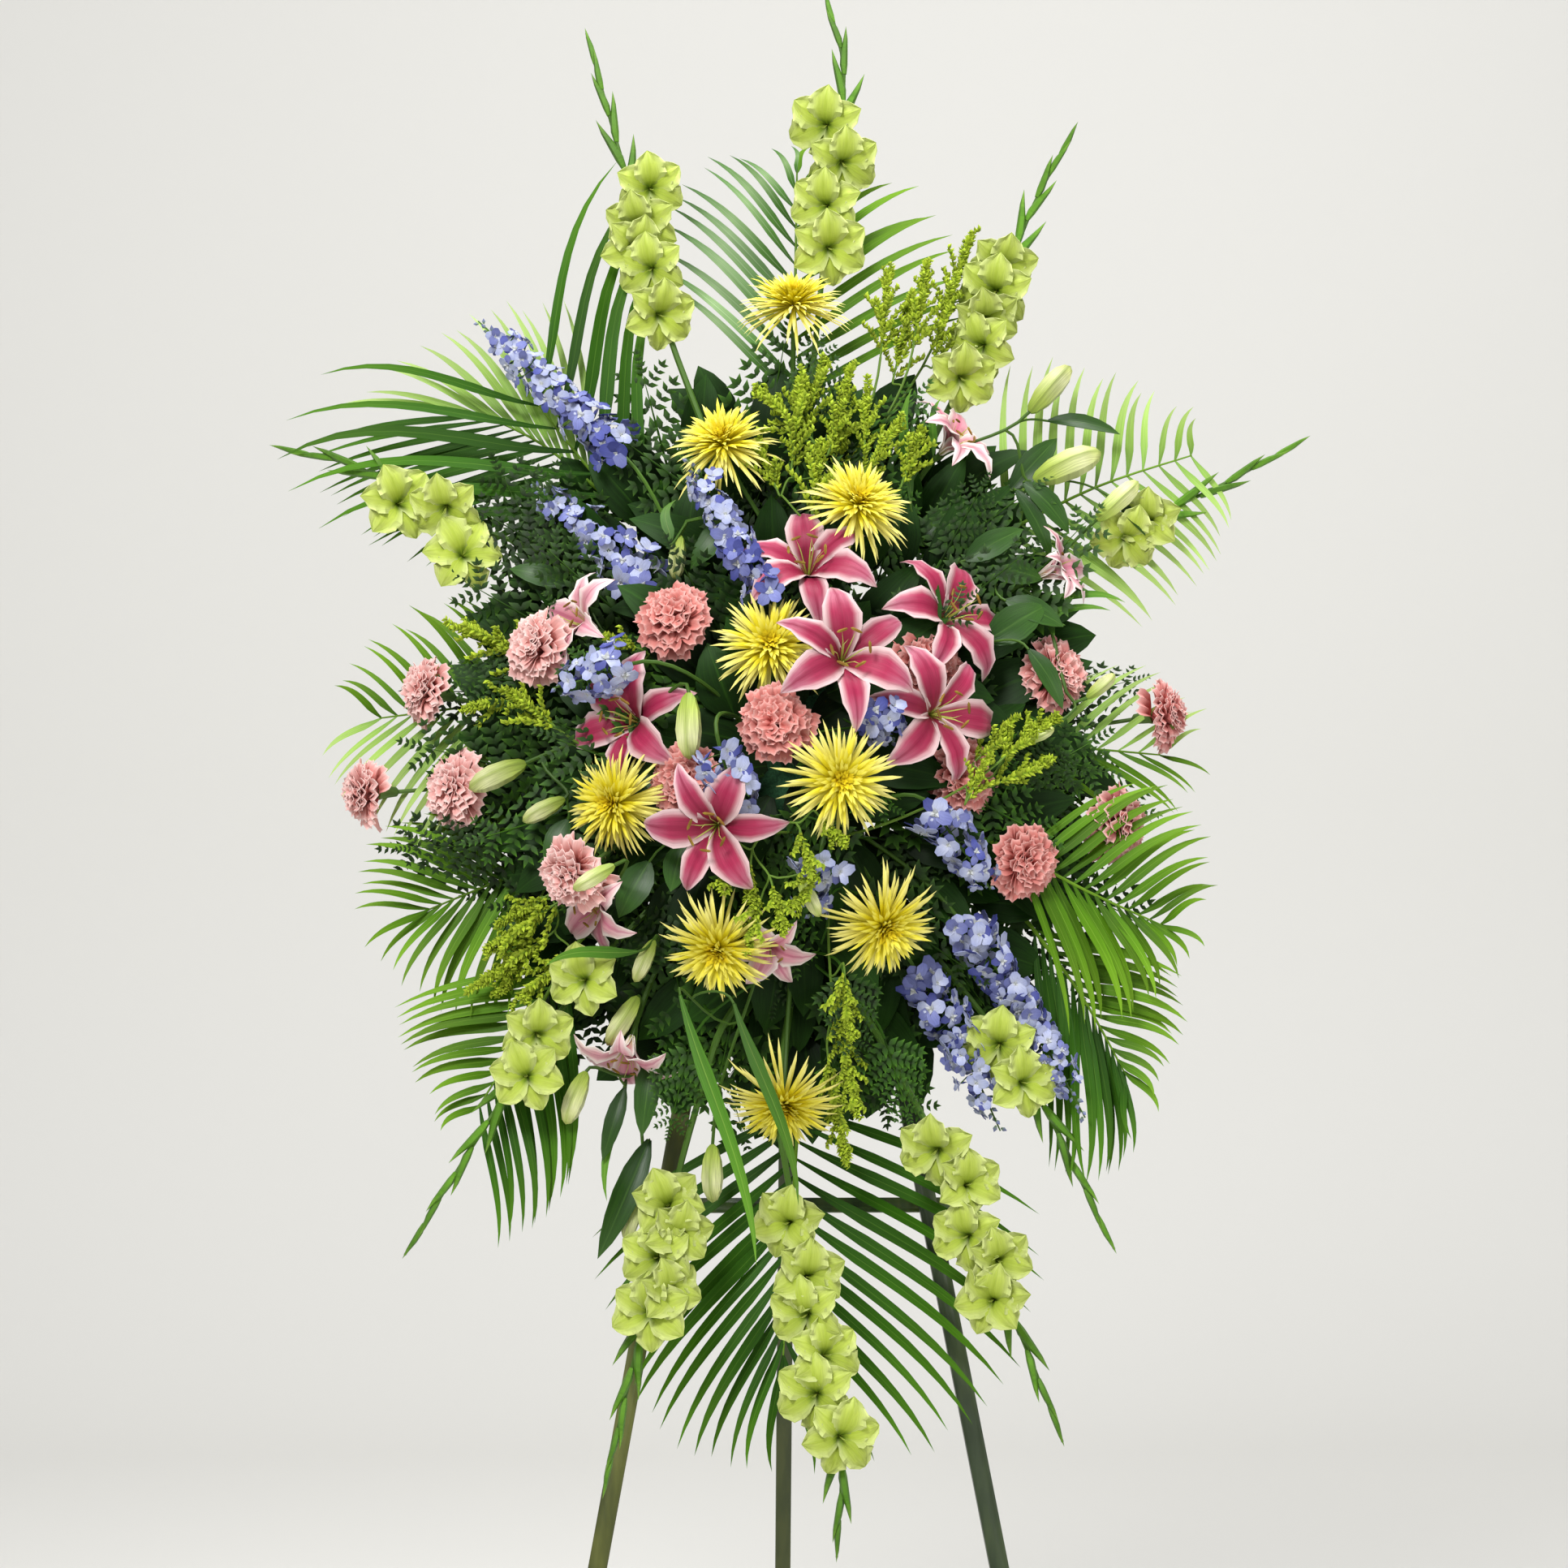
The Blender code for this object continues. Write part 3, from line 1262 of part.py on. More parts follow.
def delphinium(name, spikes):
    """Spikes of small florets from one hole."""
    stems = Stems(name, middle_of([spot_at(spots[0], forward) for spots, forward, florets in spikes]), 0.0024)
    for spots, forward, florets in spikes:
        for step in STEPS_BACK_AND_FORTH:
            guide = smooth_through([spot_at(s, forward + step - 0.02 * k) for k, s in enumerate(spots)], 3)
            spike = along_line(guide, florets)
            way = (spike[1] - spike[0]).normalized()
            if clear(tube(spike, [0.0022] * len(spike), 6), stems.heads):
                path = stems.reach(spike[0] + way * 0.003, way, (0.0021, 0.0016), 4, 40)
                if path:
                    break
        else:
            unplaced.append((name, spots[0]))
            continue
        toward = (EYE - spike[0]).normalized()
        rings = stems.keep(path, stems.rings(path[:-1] + spike, (0.0022, 0.0011), 4, toward))
        first = len(rings) - len(spike)
        sprouts = []
        own = []
        for k in range(florets):
            low, high = rings[first + k], rings[first + k + 1]
            ahead = (spike[k + 1] - spike[k]).normalized()
            face, sideways = FLORET_SIDES[k % len(FLORET_SIDES)]
            facing = (toward + ahead.cross(toward).normalized() * sideways + ahead * 0.35).normalized()
            down = (facing * ahead.dot(facing) - ahead).normalized()
            down = Matrix.Rotation(-math.pi / 4, 3, facing) @ down
            after = (face + 1) % 4
            base = [low[face], low[after], high[after], high[face]]
            size = 0.0200 * (1 - 0.30 * k / florets)
            for lift in (0.013, 0.017, 0.010, 0.021):
                centre = middle_of(base) + facing * lift + ahead * 0.004
                rim = star_ring(centre, down, facing.cross(down), 4, size, size * 0.62, -size * 0.30)
                throat = [centre - facing * lift * 0.6]
                test = [[p + (centre - middle_of(base)) * 0.1 for p in base], rim, throat]
                if clear(skin(test), stems.heads + own):
                    sprouts.append((first + k, face, [rim, throat]))
                    own.append(tree_of(swollen(skin(test), CLEAR)))
                    break
        spike_only = skin(rings[first:], [(stretch - first, face, more) for stretch, face, more in sprouts])
        stems.add(skin(rings, sprouts), 8 * (len(rings) - 1) + 2 - 2 * len(sprouts), spike_only)
    return stems.join("delphinium")


# Palm fronds: the rib's spots outwards, leaflets a side, where the first, middle and last tips are on each
# side, and how far forward the frond starts and ends
fronds = {
    "frond_top": {
        "rib": [(976, 470), (980, 330), (982, 205)],
        "count": 9,
        "left": [(806, 290), (850, 226), (968, 170)],
        "right": [(1172, 317), (1112, 236), (998, 172)],
        "forward": (0.05, 0.03),
    },
    "frond_top_left": {
        "rib": [(790, 640), (712, 540), (650, 455)],
        "count": 6,
        "left": [(430, 650), (345, 560), (438, 458)],
        "right": [(830, 380), (812, 270), (764, 223)],
        "forward": (0.06, 0.05),
    },
    "frond_left_high": {
        "rib": [(740, 610), (600, 545), (440, 505)],
        "count": 8,
        "left": [(560, 745), (455, 690), (418, 560)],
        "right": [(680, 400), (600, 385), (480, 455)],
        "forward": (0.03, 0.02),
    },
    "frond_right_high": {
        "rib": [(1230, 660), (1350, 600), (1470, 560)],
        "count": 7,
        "left": [(1250, 460), (1368, 480), (1478, 520)],
        "right": [(1390, 790), (1480, 730), (1518, 650)],
        "forward": (0.05, 0.04),
    },
    "frond_left": {
        "rib": [(740, 860), (600, 872), (470, 885)],
        "count": 8,
        "left": [(600, 1050), (480, 1040), (402, 935)],
        "right": [(610, 740), (500, 760), (405, 850)],
        "forward": (0.04, 0.03),
    },
    "frond_right": {
        "rib": [(1190, 915), (1310, 920), (1430, 930)],
        "count": 6,
        "left": [(1330, 820), (1430, 840), (1485, 900)],
        "right": [(1330, 1010), (1430, 1010), (1485, 960)],
        "forward": (0.05, 0.04),
    },
    "frond_low_left_upper": {
        "rib": [(700, 1050), (615, 1085), (530, 1120)],
        "count": 6,
        "left": [(590, 1260), (520, 1240), (455, 1165)],
        "right": [(560, 990), (465, 1040), (445, 1115)],
        "forward": (0.06, 0.05),
    },
    "frond_low_left": {
        "rib": [(690, 1190), (630, 1290), (591, 1362)],
        "count": 7,
        "left": [(480, 1236), (505, 1310), (548, 1400)],
        "right": [(700, 1440), (668, 1500), (612, 1531)],
        "forward": (0.07, 0.06),
    },
    "frond_low_right_upper": {
        "rib": [(1260, 1065), (1350, 1098), (1444, 1134)],
        "count": 7,
        "left": [(1400, 965), (1470, 1015), (1492, 1095)],
        "right": [(1370, 1260), (1430, 1235), (1488, 1150)],
        "forward": (0.06, 0.05),
    },
    "frond_low_right": {
        "rib": [(1270, 1150), (1335, 1230), (1383, 1321)],
        "count": 7,
        "left": [(1440, 1190), (1452, 1262), (1425, 1350)],
        "right": [(1300, 1450), (1345, 1450), (1400, 1400)],
        "forward": (0.07, 0.06),
    },
    "frond_bottom": {
        "rib": [(985, 1350), (975, 1530), (965, 1700)],
        "count": 11,
        "left": [(1262, 1400), (1330, 1600), (1040, 1800)],
        "right": [(740, 1540), (760, 1740), (955, 1815)],
        "forward": (0.05, 0.04),
    },
}


def frond(name, data):
    spots, (near, far) = data["rib"], data["forward"]
    facing = Vector((0, -1, 0.15)).normalized()
    for step in STEPS_BACK_AND_FORTH:
        line = [spot_at(s, near + (far - near) * k / 2 + step) for k, s in enumerate(spots)]
        rib = along_line(smooth_through(line, 3), data["count"] + 2)
        if not clear(tube(rib, [0.0035] * len(rib), 4)):
            continue
        found = entry(rib[0], 0.0028)
        if not found:
            continue
        begin, hub, out = found
        way = (rib[1] - rib[0]).normalized()
        path = route(hub, out, rib[0], way, (0.0026, 0.0022), 4, 120)
        if path:
            break
        foam_entries.pop()
    else:
        unplaced.append((name, spots[0]))
        return
    forward = (near + far) / 2 + step
    left = [spot_at(s, forward) for s in data["left"]]
    right = [spot_at(s, forward) for s in data["right"]]
    side = way.cross(facing).normalized()
    stem = tube_rings([begin] + path, [0.0028] + tapered((0.0026, 0.0022), 4), 4, side)[:-1]
    drill(stem[0], begin, hub, 0.0028)
    greens = 8 * len(stem) + 1
    sprouts = leaflets(stem, rib, facing, data["count"] + 2, right, left, 0.0055)
    fused(name, [(skin(stem, sprouts), greens)], "palm")


# Ferns: base spot, tip spot, half width, and how far forward
fern_groups = {
    "ferns_left": [
        ((700, 690), (590, 630), 0.050, 0.09), ((660, 840), (560, 835), 0.050, 0.10),
        ((620, 1040), (510, 1045), 0.050, 0.09),
    ],
    "ferns_right": [
        ((1000, 520), (1012, 430), 0.040, 0.15), ((1160, 690), (1210, 600), 0.045, 0.12),
        ((1230, 930), (1320, 950), 0.045, 0.13),
    ],
    "ferns_low": [
        ((1040, 1200), (1055, 1290), 0.045, 0.17), ((850, 1290), (826, 1385), 0.045, 0.13),
        ((1090, 1280), (1118, 1370), 0.045, 0.12),
    ],
}


def ferns(name, leaves):
    stems = Stems(name, middle_of([spot_at(base, forward) for base, tip, half, forward in leaves]), 0.0022)
    for base_spot, tip_spot, half, forward in leaves:
        facing = outward(base_spot, 0.5)
        for step in STEPS_BACK_AND_FORTH:
            base, tip = spot_at(base_spot, forward + step), spot_at(tip_spot, forward + step)
            rib = [base.lerp(tip, k / 4) + facing * 0.010 * math.sin(math.pi * k / 4) for k in range(5)]
            way = (rib[1] - rib[0]).normalized()
            if clear(tube(rib, [0.0024] * 5, 4), stems.heads):
                path = stems.reach(rib[0], way, (0.0018, 0.0014), 4, 50)
                if path:
                    break
        else:
            unplaced.append((name, base_spot))
            continue
        sideways = way.cross(facing).normalized()
        length = (tip - base).length
        outline = ((1.0, 0.25), (0.75, 0.62), (0.10, 1.00))
        right = [base + sideways * half * wide + way * length * high for wide, high in outline]
        left = [base - sideways * half * wide + way * length * high for wide, high in outline]
        rings = stems.keep(path, stems.rings(path, (0.0018, 0.0014), 4, sideways))[:-1]
        count = len(rings)
        sprouts = leaflets(rings, rib, facing, 6, right, left, 0.0034)
        blade = skin(rings[count:], [(k - count, face, more) for k, face, more in sprouts])
        stems.add(skin(rings, sprouts), 8 * count + 1, blade)
    return stems.join("fern")


# Solidago plumes: base spot, tip spot, and how far forward
solidago_groups = {
    "solidago_top": [
        ((1085, 440), (1094, 345), 0.10), ((1125, 430), (1140, 338), 0.09), ((1160, 400), (1192, 303), 0.07),
        ((1030, 590), (1040, 500), 0.17),
    ],
    "solidago_left": [
        ((670, 830), (605, 790), 0.10), ((690, 900), (640, 860), 0.14), ((655, 1130), (622, 1212), 0.09),
    ],
    "solidago_low": [
        ((1030, 1250), (1052, 1350), 0.17), ((925, 1060), (926, 1100), 0.24),
        ((1230, 940), (1270, 905), 0.17),
    ],
}


def plume_core(line, radius, corner=None):
    """The slim core of a plume: rings from above its stem to its tip."""
    last = len(line) - 1
    sizes = [radius * math.sin(math.pi * (0.2 + 0.7 * k / last)) for k in range(1, last)]
    side = corner or (line[1] - line[0]).orthogonal()
    rings = []
    for k in range(1, last):
        ahead = (line[k + 1] - line[k - 1]).normalized()
        side = (side - side.project(ahead)).normalized()
        start = Matrix.Rotation(-math.pi / 3, 3, ahead) @ side
        rings.append(ring_at(line[k], start, ahead.cross(start), sizes[k - 1], 3))
    return rings + [[line[-1]]]


def pointed(shape, first):
    """Flowers standing out of a plume in points, one from each of its faces after the first few."""
    points, faces = list(shape[0]), shape[1]
    made = list(faces[:first])
    for a, b, c in faces[first:]:
        normal = (points[b] - points[a]).cross(points[c] - points[a]).normalized()
        points.append((points[a] + points[b] + points[c]) / 3 + normal * draw.uniform(0.005, 0.009))
        tip = len(points) - 1
        made += [(a, b, tip), (b, c, tip), (c, a, tip)]
    return points, made


def solidago(name, plumes):
    stems = Stems(name, middle_of([spot_at(base, forward) for base, tip, forward in plumes]), 0.0022)
    for base_spot, tip_spot, forward in plumes:
        for step in STEPS_BACK_AND_FORTH:
            base, tip = spot_at(base_spot, forward + step), spot_at(tip_spot, forward + step)
            bend = Vector((draw.uniform(-0.012, 0.012), 0, draw.uniform(-0.006, 0.006)))
            line = [base.lerp(tip, k / 4) + bend * math.sin(math.pi * k / 4) for k in range(5)]
            shape = tube(line, [0.016] * 5, 6)
            way = (line[1] - line[0]).normalized()
            if clear(shape, stems.heads):
                path = stems.reach(line[0], way, (0.0018, 0.0014), 4, 50)
                if path:
                    break
        else:
            unplaced.append((name, base_spot))
            continue
        rings = stems.keep(path, stems.rings(path, (0.0018, 0.0014), 3))
        corner = rings[-1][0] - path[-1]
        core = plume_core(line, 0.0065, corner)
        greens = 6 * (len(rings) - 1) + 1
        stems.add(pointed(skin(rings + core), greens), greens, pointed(skin(core), 1))
    return stems.join("solidago")


def settle(pin, moving):
    """Puts the origin on the floor under the middle of the whole, and what folds on the hinge's axis."""
    meshes = [obj.data for obj in bpy.data.objects]
    points = [vert.co for mesh in meshes for vert in mesh.vertices]
    middle = Vector([(min(p[k] for p in points) + max(p[k] for p in points)) / 2 for k in range(3)])
    home = Matrix.Translation((-middle.x, -middle.y, 0))
    for mesh in meshes:
        mesh.transform(home)
    axis = bpy.data.objects.new("hinge_axis", None)
    axis.location = home @ pin
    bpy.context.scene.collection.objects.link(axis)
    for obj in moving:
        obj.data.transform(Matrix.Translation(-axis.location))
        obj.parent = axis


pin, folding = easel()
holder()
foam_tree = len(standing) - 1
for name, heads in mum_bunches.items():
    mums(name, heads)
for name, data in lily_stems.items():
    lily(name, data)
for name, heads in carnation_bunches.items():
    carnations(name, heads)
for name, data in gladioli.items():
    gladiolus(name, data)
for name, spikes in delphinium_groups.items():
    delphinium(name, spikes)
for name, data in fronds.items():
    frond(name, data)
for name, leaves in fern_groups.items():
    ferns(name, leaves)
for name, plumes in solidago_groups.items():
    solidago(name, plumes)

foam = solid("foam_block", block((0, 0, 0), (FOAM_WIDTH, FOAM_HEIGHT, FOAM_DEPTH)), "foam")
cut(foam, foam_holes, "stem_holes")
settle(pin, folding)
print("no clear place was found for", unplaced)
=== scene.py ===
import json
import math
import random

import bpy
from mathutils import Matrix, Vector
from mathutils.geometry import interpolate_bezier
from mathutils.kdtree import KDTree


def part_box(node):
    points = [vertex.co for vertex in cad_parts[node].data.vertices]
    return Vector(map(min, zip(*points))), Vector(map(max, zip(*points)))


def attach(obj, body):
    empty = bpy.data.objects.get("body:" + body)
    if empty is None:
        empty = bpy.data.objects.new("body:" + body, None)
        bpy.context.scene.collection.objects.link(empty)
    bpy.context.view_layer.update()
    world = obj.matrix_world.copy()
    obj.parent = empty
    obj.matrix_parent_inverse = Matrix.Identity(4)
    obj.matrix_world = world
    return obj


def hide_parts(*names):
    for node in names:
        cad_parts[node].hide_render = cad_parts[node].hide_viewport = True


# A standing flower spray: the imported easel, tray and foam, dressed with cut flowers, fronds and ferns
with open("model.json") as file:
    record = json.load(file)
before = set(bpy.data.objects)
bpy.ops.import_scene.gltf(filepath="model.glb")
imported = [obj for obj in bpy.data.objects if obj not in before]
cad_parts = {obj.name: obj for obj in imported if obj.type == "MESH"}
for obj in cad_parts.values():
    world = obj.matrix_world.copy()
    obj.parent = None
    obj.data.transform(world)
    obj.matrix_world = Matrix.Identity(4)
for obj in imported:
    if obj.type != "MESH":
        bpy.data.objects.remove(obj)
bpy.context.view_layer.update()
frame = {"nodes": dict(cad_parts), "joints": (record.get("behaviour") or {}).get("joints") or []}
chance = random.Random(3107)

# The view that the flowers were set out in: a spot is (across, down) in a square picture of 1932 pixels
view = {
    "pin": (0, 0.049403, 1.434388),  # the hinge pin in that layout, which ties it to the frame
    "eye": (-0.16, -5.0, 1.226),
    "apex": (0, 0.044, 1.46621),  # where the front legs' middle lines meet the easel's top
    "middle": (977, 966),
    "pixel": 0.0009,  # metres
    "lean": math.radians(12),
    "sprayMiddle": (972, 930),
    "picture": 1932,
    "sensor": 36,
}
home = Vector(frame["joints"][0]["pos_m"]) - Vector(view["pin"])
eye = home + Vector(view["eye"])
apex = home + Vector(view["apex"])
slope = math.tan(view["lean"])


def spotAt(spot, forward):  # the point seen at a spot, this far in front of the plane of the front legs
    across = (spot[0] - view["middle"][0]) * view["pixel"]
    high = view["eye"][2] + (view["middle"][1] - spot[1]) * view["pixel"]
    ray = home + Vector((across, 0, high)) - eye
    plane = apex.y - slope * apex.z - forward
    return eye + ray * (plane + slope * eye.z - eye.y) / (ray.y - slope * ray.z)


def forwardOf(point):
    return apex.y - slope * apex.z - (point.y - slope * point.z)


def dome(spot):  # how far forward the flowers stand: most in the middle of the spray
    away = Vector((spot[0] - view["sprayMiddle"][0], (spot[1] - view["sprayMiddle"][1]) * 0.85))
    return 0.045 + 0.215 * math.exp(-((away.length * view["pixel"] / 0.30) ** 2))


def outward(spot, spread=1.0):  # the way a flower faces: out of the spray and towards the front
    leanX = (spot[0] - view["sprayMiddle"][0]) * view["pixel"] / 0.45 * spread
    leanZ = (view["sprayMiddle"][1] - spot[1]) * view["pixel"] / 0.45 * spread
    return Vector((leanX, -1, leanZ + 0.1)).normalized()


def leaned(spot, lean):
    return (outward(spot) + Vector((lean[0], 0, lean[1]))).normalized()


solidPoints = {name: [v.co.copy() for v in node.data.vertices] for name, node in frame["nodes"].items()}


def seenNear(node, spot, reach):  # the node's points within reach of the line of sight through a spot, with how far along it each is
    near = spotAt(spot, 0)
    sight = (spotAt(spot, 0.3) - near).normalized()
    seen = []
    for point in solidPoints[node]:
        depth = (point - near).dot(sight)
        if (point - near - sight * depth).length < reach:
            seen.append((depth, point))
    return sorted(seen, key=lambda pair: pair[0])


def headAt(node, spot, reach):  # the middle of the solid flower that stands at a spot
    seen = seenNear(node, spot, reach)
    middle = seen[len(seen) // 2][0]
    own = [point for depth, point in seen if abs(depth - middle) < reach]
    return sum(own, Vector()) / len(own)


def tipAt(node, spot):  # the node's point that the line of sight through a spot passes nearest to
    near = spotAt(spot, 0)
    sight = (spotAt(spot, 0.3) - near).normalized()
    return min(solidPoints[node], key=lambda p: (p - near - sight * (p - near).dot(sight)).length)


# The foam: where each node's stem stands in it
foamMiddle = sum(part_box("foam_block"), Vector()) / 2
foamUp = Vector((0, math.sin(view["lean"]), math.cos(view["lean"])))
foamFront = Vector((0, -math.cos(view["lean"]), math.sin(view["lean"])))
foamHalf = Vector((0.056, 0.225, 0.039))
stubLength = 0.037  # from a stem's end in the foam to where it is free of it


def inFoam(point):
    away = point - foamMiddle
    local = Vector((away.x, away.dot(foamUp), away.dot(foamFront)))
    return all(abs(local[k]) < foamHalf[k] for k in range(3))


def footOf(node):  # where a node's stem ends in the foam, and where it is free of the foam
    inside = [point for point in solidPoints[node] if inFoam(point)]
    begin = sum(inside, Vector()) / len(inside)
    ring = [p for p in solidPoints[node] if abs((p - begin).length - stubLength) < 0.0015]
    hub = sum(ring, Vector()) / len(ring)
    return begin, hub


def stemLine(node, end, wayIn, steps=12):  # a stem's middle line, from the foam to where it meets its flower in this direction
    begin, hub = footOf(node)
    out = (hub - begin).normalized()
    span = (end - hub).length
    curve = interpolate_bezier(hub, hub + out * span * 0.35, end - wayIn * span * 0.35, end, steps)
    return [begin] + curve


# Starting, shaping and finishing a piece
def clearSelection():
    if bpy.context.mode != "OBJECT":
        bpy.ops.object.mode_set(mode="OBJECT")
    bpy.ops.object.select_all(action="DESELECT")


def take(obj):
    clearSelection()
    obj.select_set(True)
    bpy.context.view_layer.objects.active = obj


def pick(obj, test):  # selects the points that pass the test, and stays in edit mode
    bpy.ops.object.mode_set(mode="OBJECT")
    for element in (*obj.data.edges, *obj.data.polygons):
        element.select = False
    for point in obj.data.vertices:
        point.select = test(point.co)
    bpy.ops.object.mode_set(mode="EDIT")


def mark(obj, name, values):  # stores a number at each point of a mesh, for its material
    bpy.ops.object.mode_set(mode="OBJECT")
    attribute = obj.data.attributes.get(name) or obj.data.attributes.new(name, "FLOAT", "POINT")
    attribute.data.foreach_set("value", values)


def finishMaster(obj, thick=0, angle=50):  # gives a sheet its thickness, turns the faces out and rounds the shading
    take(obj)
    bpy.ops.object.mode_set(mode="EDIT")
    bpy.ops.mesh.select_all(action="SELECT")
    bpy.ops.mesh.remove_doubles(threshold=0.00001)
    bpy.ops.object.mode_set(mode="OBJECT")
    if thick:
        wall = obj.modifiers.new("wall", "SOLIDIFY")
        wall.thickness = thick
        wall.offset = 0
        bpy.ops.object.modifier_apply(modifier=wall.name)
    bpy.ops.object.mode_set(mode="EDIT")
    bpy.ops.mesh.select_all(action="SELECT")
    bpy.ops.mesh.normals_make_consistent(inside=False)
    bpy.ops.object.mode_set(mode="OBJECT")
    bpy.ops.object.shade_smooth_by_angle(angle=math.radians(angle))
    mark(obj, "tint", [0.5] * len(obj.data.vertices))
    clearSelection()
    bpy.context.scene.collection.objects.unlink(obj)
    return obj


def sheetMaster(name, rows, columns=4, thick=0.0005, frill=None, sway=0.0):  # a petal or leaf along +Y, upper side to +Z
    # Each row is how far along it is, how high, half its width and how far its edges lift. A frill is how far the
    # columns wave, from which row on, how deep the last row's teeth are, and how many columns a wave takes. Sway bows a blade of
    # length 1 in its own plane.
    clearSelection()
    away = 10  # the rows start out of the way of those that are done
    bpy.ops.mesh.primitive_grid_add(
        x_subdivisions=columns, y_subdivisions=len(rows) - 1, size=2, location=(0, away, 0)
    )
    obj = bpy.context.object
    obj.name = name
    bpy.ops.object.transform_apply(location=True)
    mark(obj, "along", [(v.co.y - away + 1) / 2 for v in obj.data.vertices])
    mark(obj, "side", [v.co.x for v in obj.data.vertices])
    for k, (along, high, half, edge) in enumerate(rows):
        start = away - 1 + 2 * k / (len(rows) - 1)
        pick(obj, lambda p: abs(p.y - start) < 0.001)
        bpy.ops.transform.resize(value=(half, 1, 1), center_override=(0, start, 0))
        aside = sway * 6.75 * along**2 * (1 - along)  # most at two thirds of the way
        bpy.ops.transform.translate(value=(aside, along - start, high))
        for number in range(columns + 1):
            share = 2 * number / columns - 1
            wave = frill[0] * math.cos(math.tau * number / frill[3]) if frill and k >= frill[1] else 0
            tooth = frill[2] * (-1) ** number if frill and k == len(rows) - 1 else 0
            lift = edge * share**2 + wave
            if lift or tooth:
                column = share * half + aside
                pick(obj, lambda p: abs(p.y - along) < 0.00002 and abs(p.x - column) < half / columns / 2)
                bpy.ops.transform.translate(value=(0, tooth, lift))
    return finishMaster(obj, thick)


def spindleMaster(name, rows, sides=5, angle=50):  # a bud, quill or stalk along +Y
    clearSelection()
    bpy.ops.mesh.primitive_circle_add(vertices=sides, radius=1, fill_type="NGON", rotation=(math.pi / 2, 0, 0))
    obj = bpy.context.object
    obj.name = name
    bpy.ops.object.transform_apply(rotation=True)
    bpy.ops.object.mode_set(mode="EDIT")
    bpy.ops.mesh.select_all(action="SELECT")
    along, high, wide, deep = rows[0]
    bpy.ops.transform.resize(value=(wide, 1, deep), center_override=(0, 0, 0))
    bpy.ops.transform.translate(value=(0, along, high))
    for nextAlong, nextHigh, nextWide, nextDeep in rows[1:]:
        step = (0, nextAlong - along, nextHigh - high)
        bpy.ops.mesh.extrude_region_move(TRANSFORM_OT_translate={"value": step})
        bpy.ops.transform.resize(
            value=(nextWide / wide, 1, nextDeep / deep), center_override=(0, nextAlong, nextHigh)
        )
        along, high, wide, deep = nextAlong, nextHigh, nextWide, nextDeep
    bpy.ops.mesh.merge(type="CENTER")
    bpy.ops.object.mode_set(mode="OBJECT")
    mark(obj, "along", [v.co.y / along for v in obj.data.vertices])
    mark(obj, "side", [v.co.x / max(row[2] for row in rows) for v in obj.data.vertices])
    return finishMaster(obj, angle=angle)


def placed(origin, along, facing, size=1.0, wide=None, deep=None):  # where a master goes: its root, the way it points, the way its upper side looks, and its sizes
    y = along.normalized()
    x = y.cross(facing)
    x = x.normalized() if x.length > 0.001 else y.orthogonal().normalized()
    turn = Matrix((x, y, x.cross(y))).transposed().to_4x4()
    return Matrix.Translation(origin) @ turn @ Matrix.Diagonal((wide or size, size, deep or size, 1))


def copyOf(master, matrix, tint=None):  # a copy with its own mesh, and its own shade unless it keeps its petals' own
    piece = master.copy()
    piece.data = master.data.copy()
    piece.matrix_world = matrix
    bpy.context.scene.collection.objects.link(piece)
    if tint is not None:
        piece.data.attributes["tint"].data.foreach_set("value", [tint] * len(piece.data.vertices))
    return piece


def joined(name, pieces):  # one mesh from many copies, with its place in its mesh
    clearSelection()
    for piece in pieces:
        piece.select_set(True)
    bpy.context.view_layer.objects.active = pieces[0]
    bpy.ops.object.join()
    bpy.ops.object.transform_apply(location=True, rotation=True, scale=True)
    piece = bpy.context.object
    piece.name = name
    return piece


def headMaster(name, pieces):  # a whole flower, kept as a master: its middle is at the origin, and it faces +Z
    head = joined(name, pieces)
    clearSelection()
    bpy.context.scene.collection.objects.unlink(head)
    return head


def turnedHead(centre, facing, turn, size=1.0):  # where a whole flower goes
    side = facing.cross(Vector((0, 0, 1)))
    side = side.normalized() if side.length > 0.1 else facing.orthogonal().normalized()
    turned = Matrix((side, facing.cross(side), facing)).transposed().to_4x4()
    return Matrix.Translation(centre) @ turned @ Matrix.Rotation(turn, 4, "Z") @ Matrix.Scale(size, 4)


def radial(turn, tilt):  # the way out from a flower's middle at a turn round it, tilted up out of its plane
    return Vector((math.cos(turn) * math.cos(tilt), math.sin(turn) * math.cos(tilt), math.sin(tilt)))


def stemPiece(name, lines, radii, material, sides=6):  # round stems along lines of points, each from one radius to another
    curve = bpy.data.curves.new(name, "CURVE")
    curve.dimensions = "3D"
    curve.bevel_depth = 1
    curve.bevel_resolution = (sides - 4) // 2
    curve.use_fill_caps = True
    for line, (first, last) in zip(lines, radii):
        spline = curve.splines.new("POLY")
        spline.points.add(len(line) - 1)
        for k, point in enumerate(line):
            spline.points[k].co = (*point, 1)
            spline.points[k].radius = first + (last - first) * k / (len(line) - 1)
    piece = bpy.data.objects.new(name, curve)
    bpy.context.scene.collection.objects.link(piece)
    take(piece)
    bpy.ops.object.convert(target="MESH")
    piece = bpy.context.object
    piece.data.materials.append(material)
    bpy.ops.object.mode_set(mode="EDIT")
    bpy.ops.mesh.select_all(action="SELECT")
    bpy.ops.mesh.normals_make_consistent(inside=False)
    bpy.ops.object.mode_set(mode="OBJECT")
    bpy.ops.object.shade_smooth_by_angle(angle=math.radians(50))
    for name, value in (("along", 0.5), ("side", 0.0), ("tint", chance.random())):
        mark(piece, name, [value] * len(piece.data.vertices))
    return piece


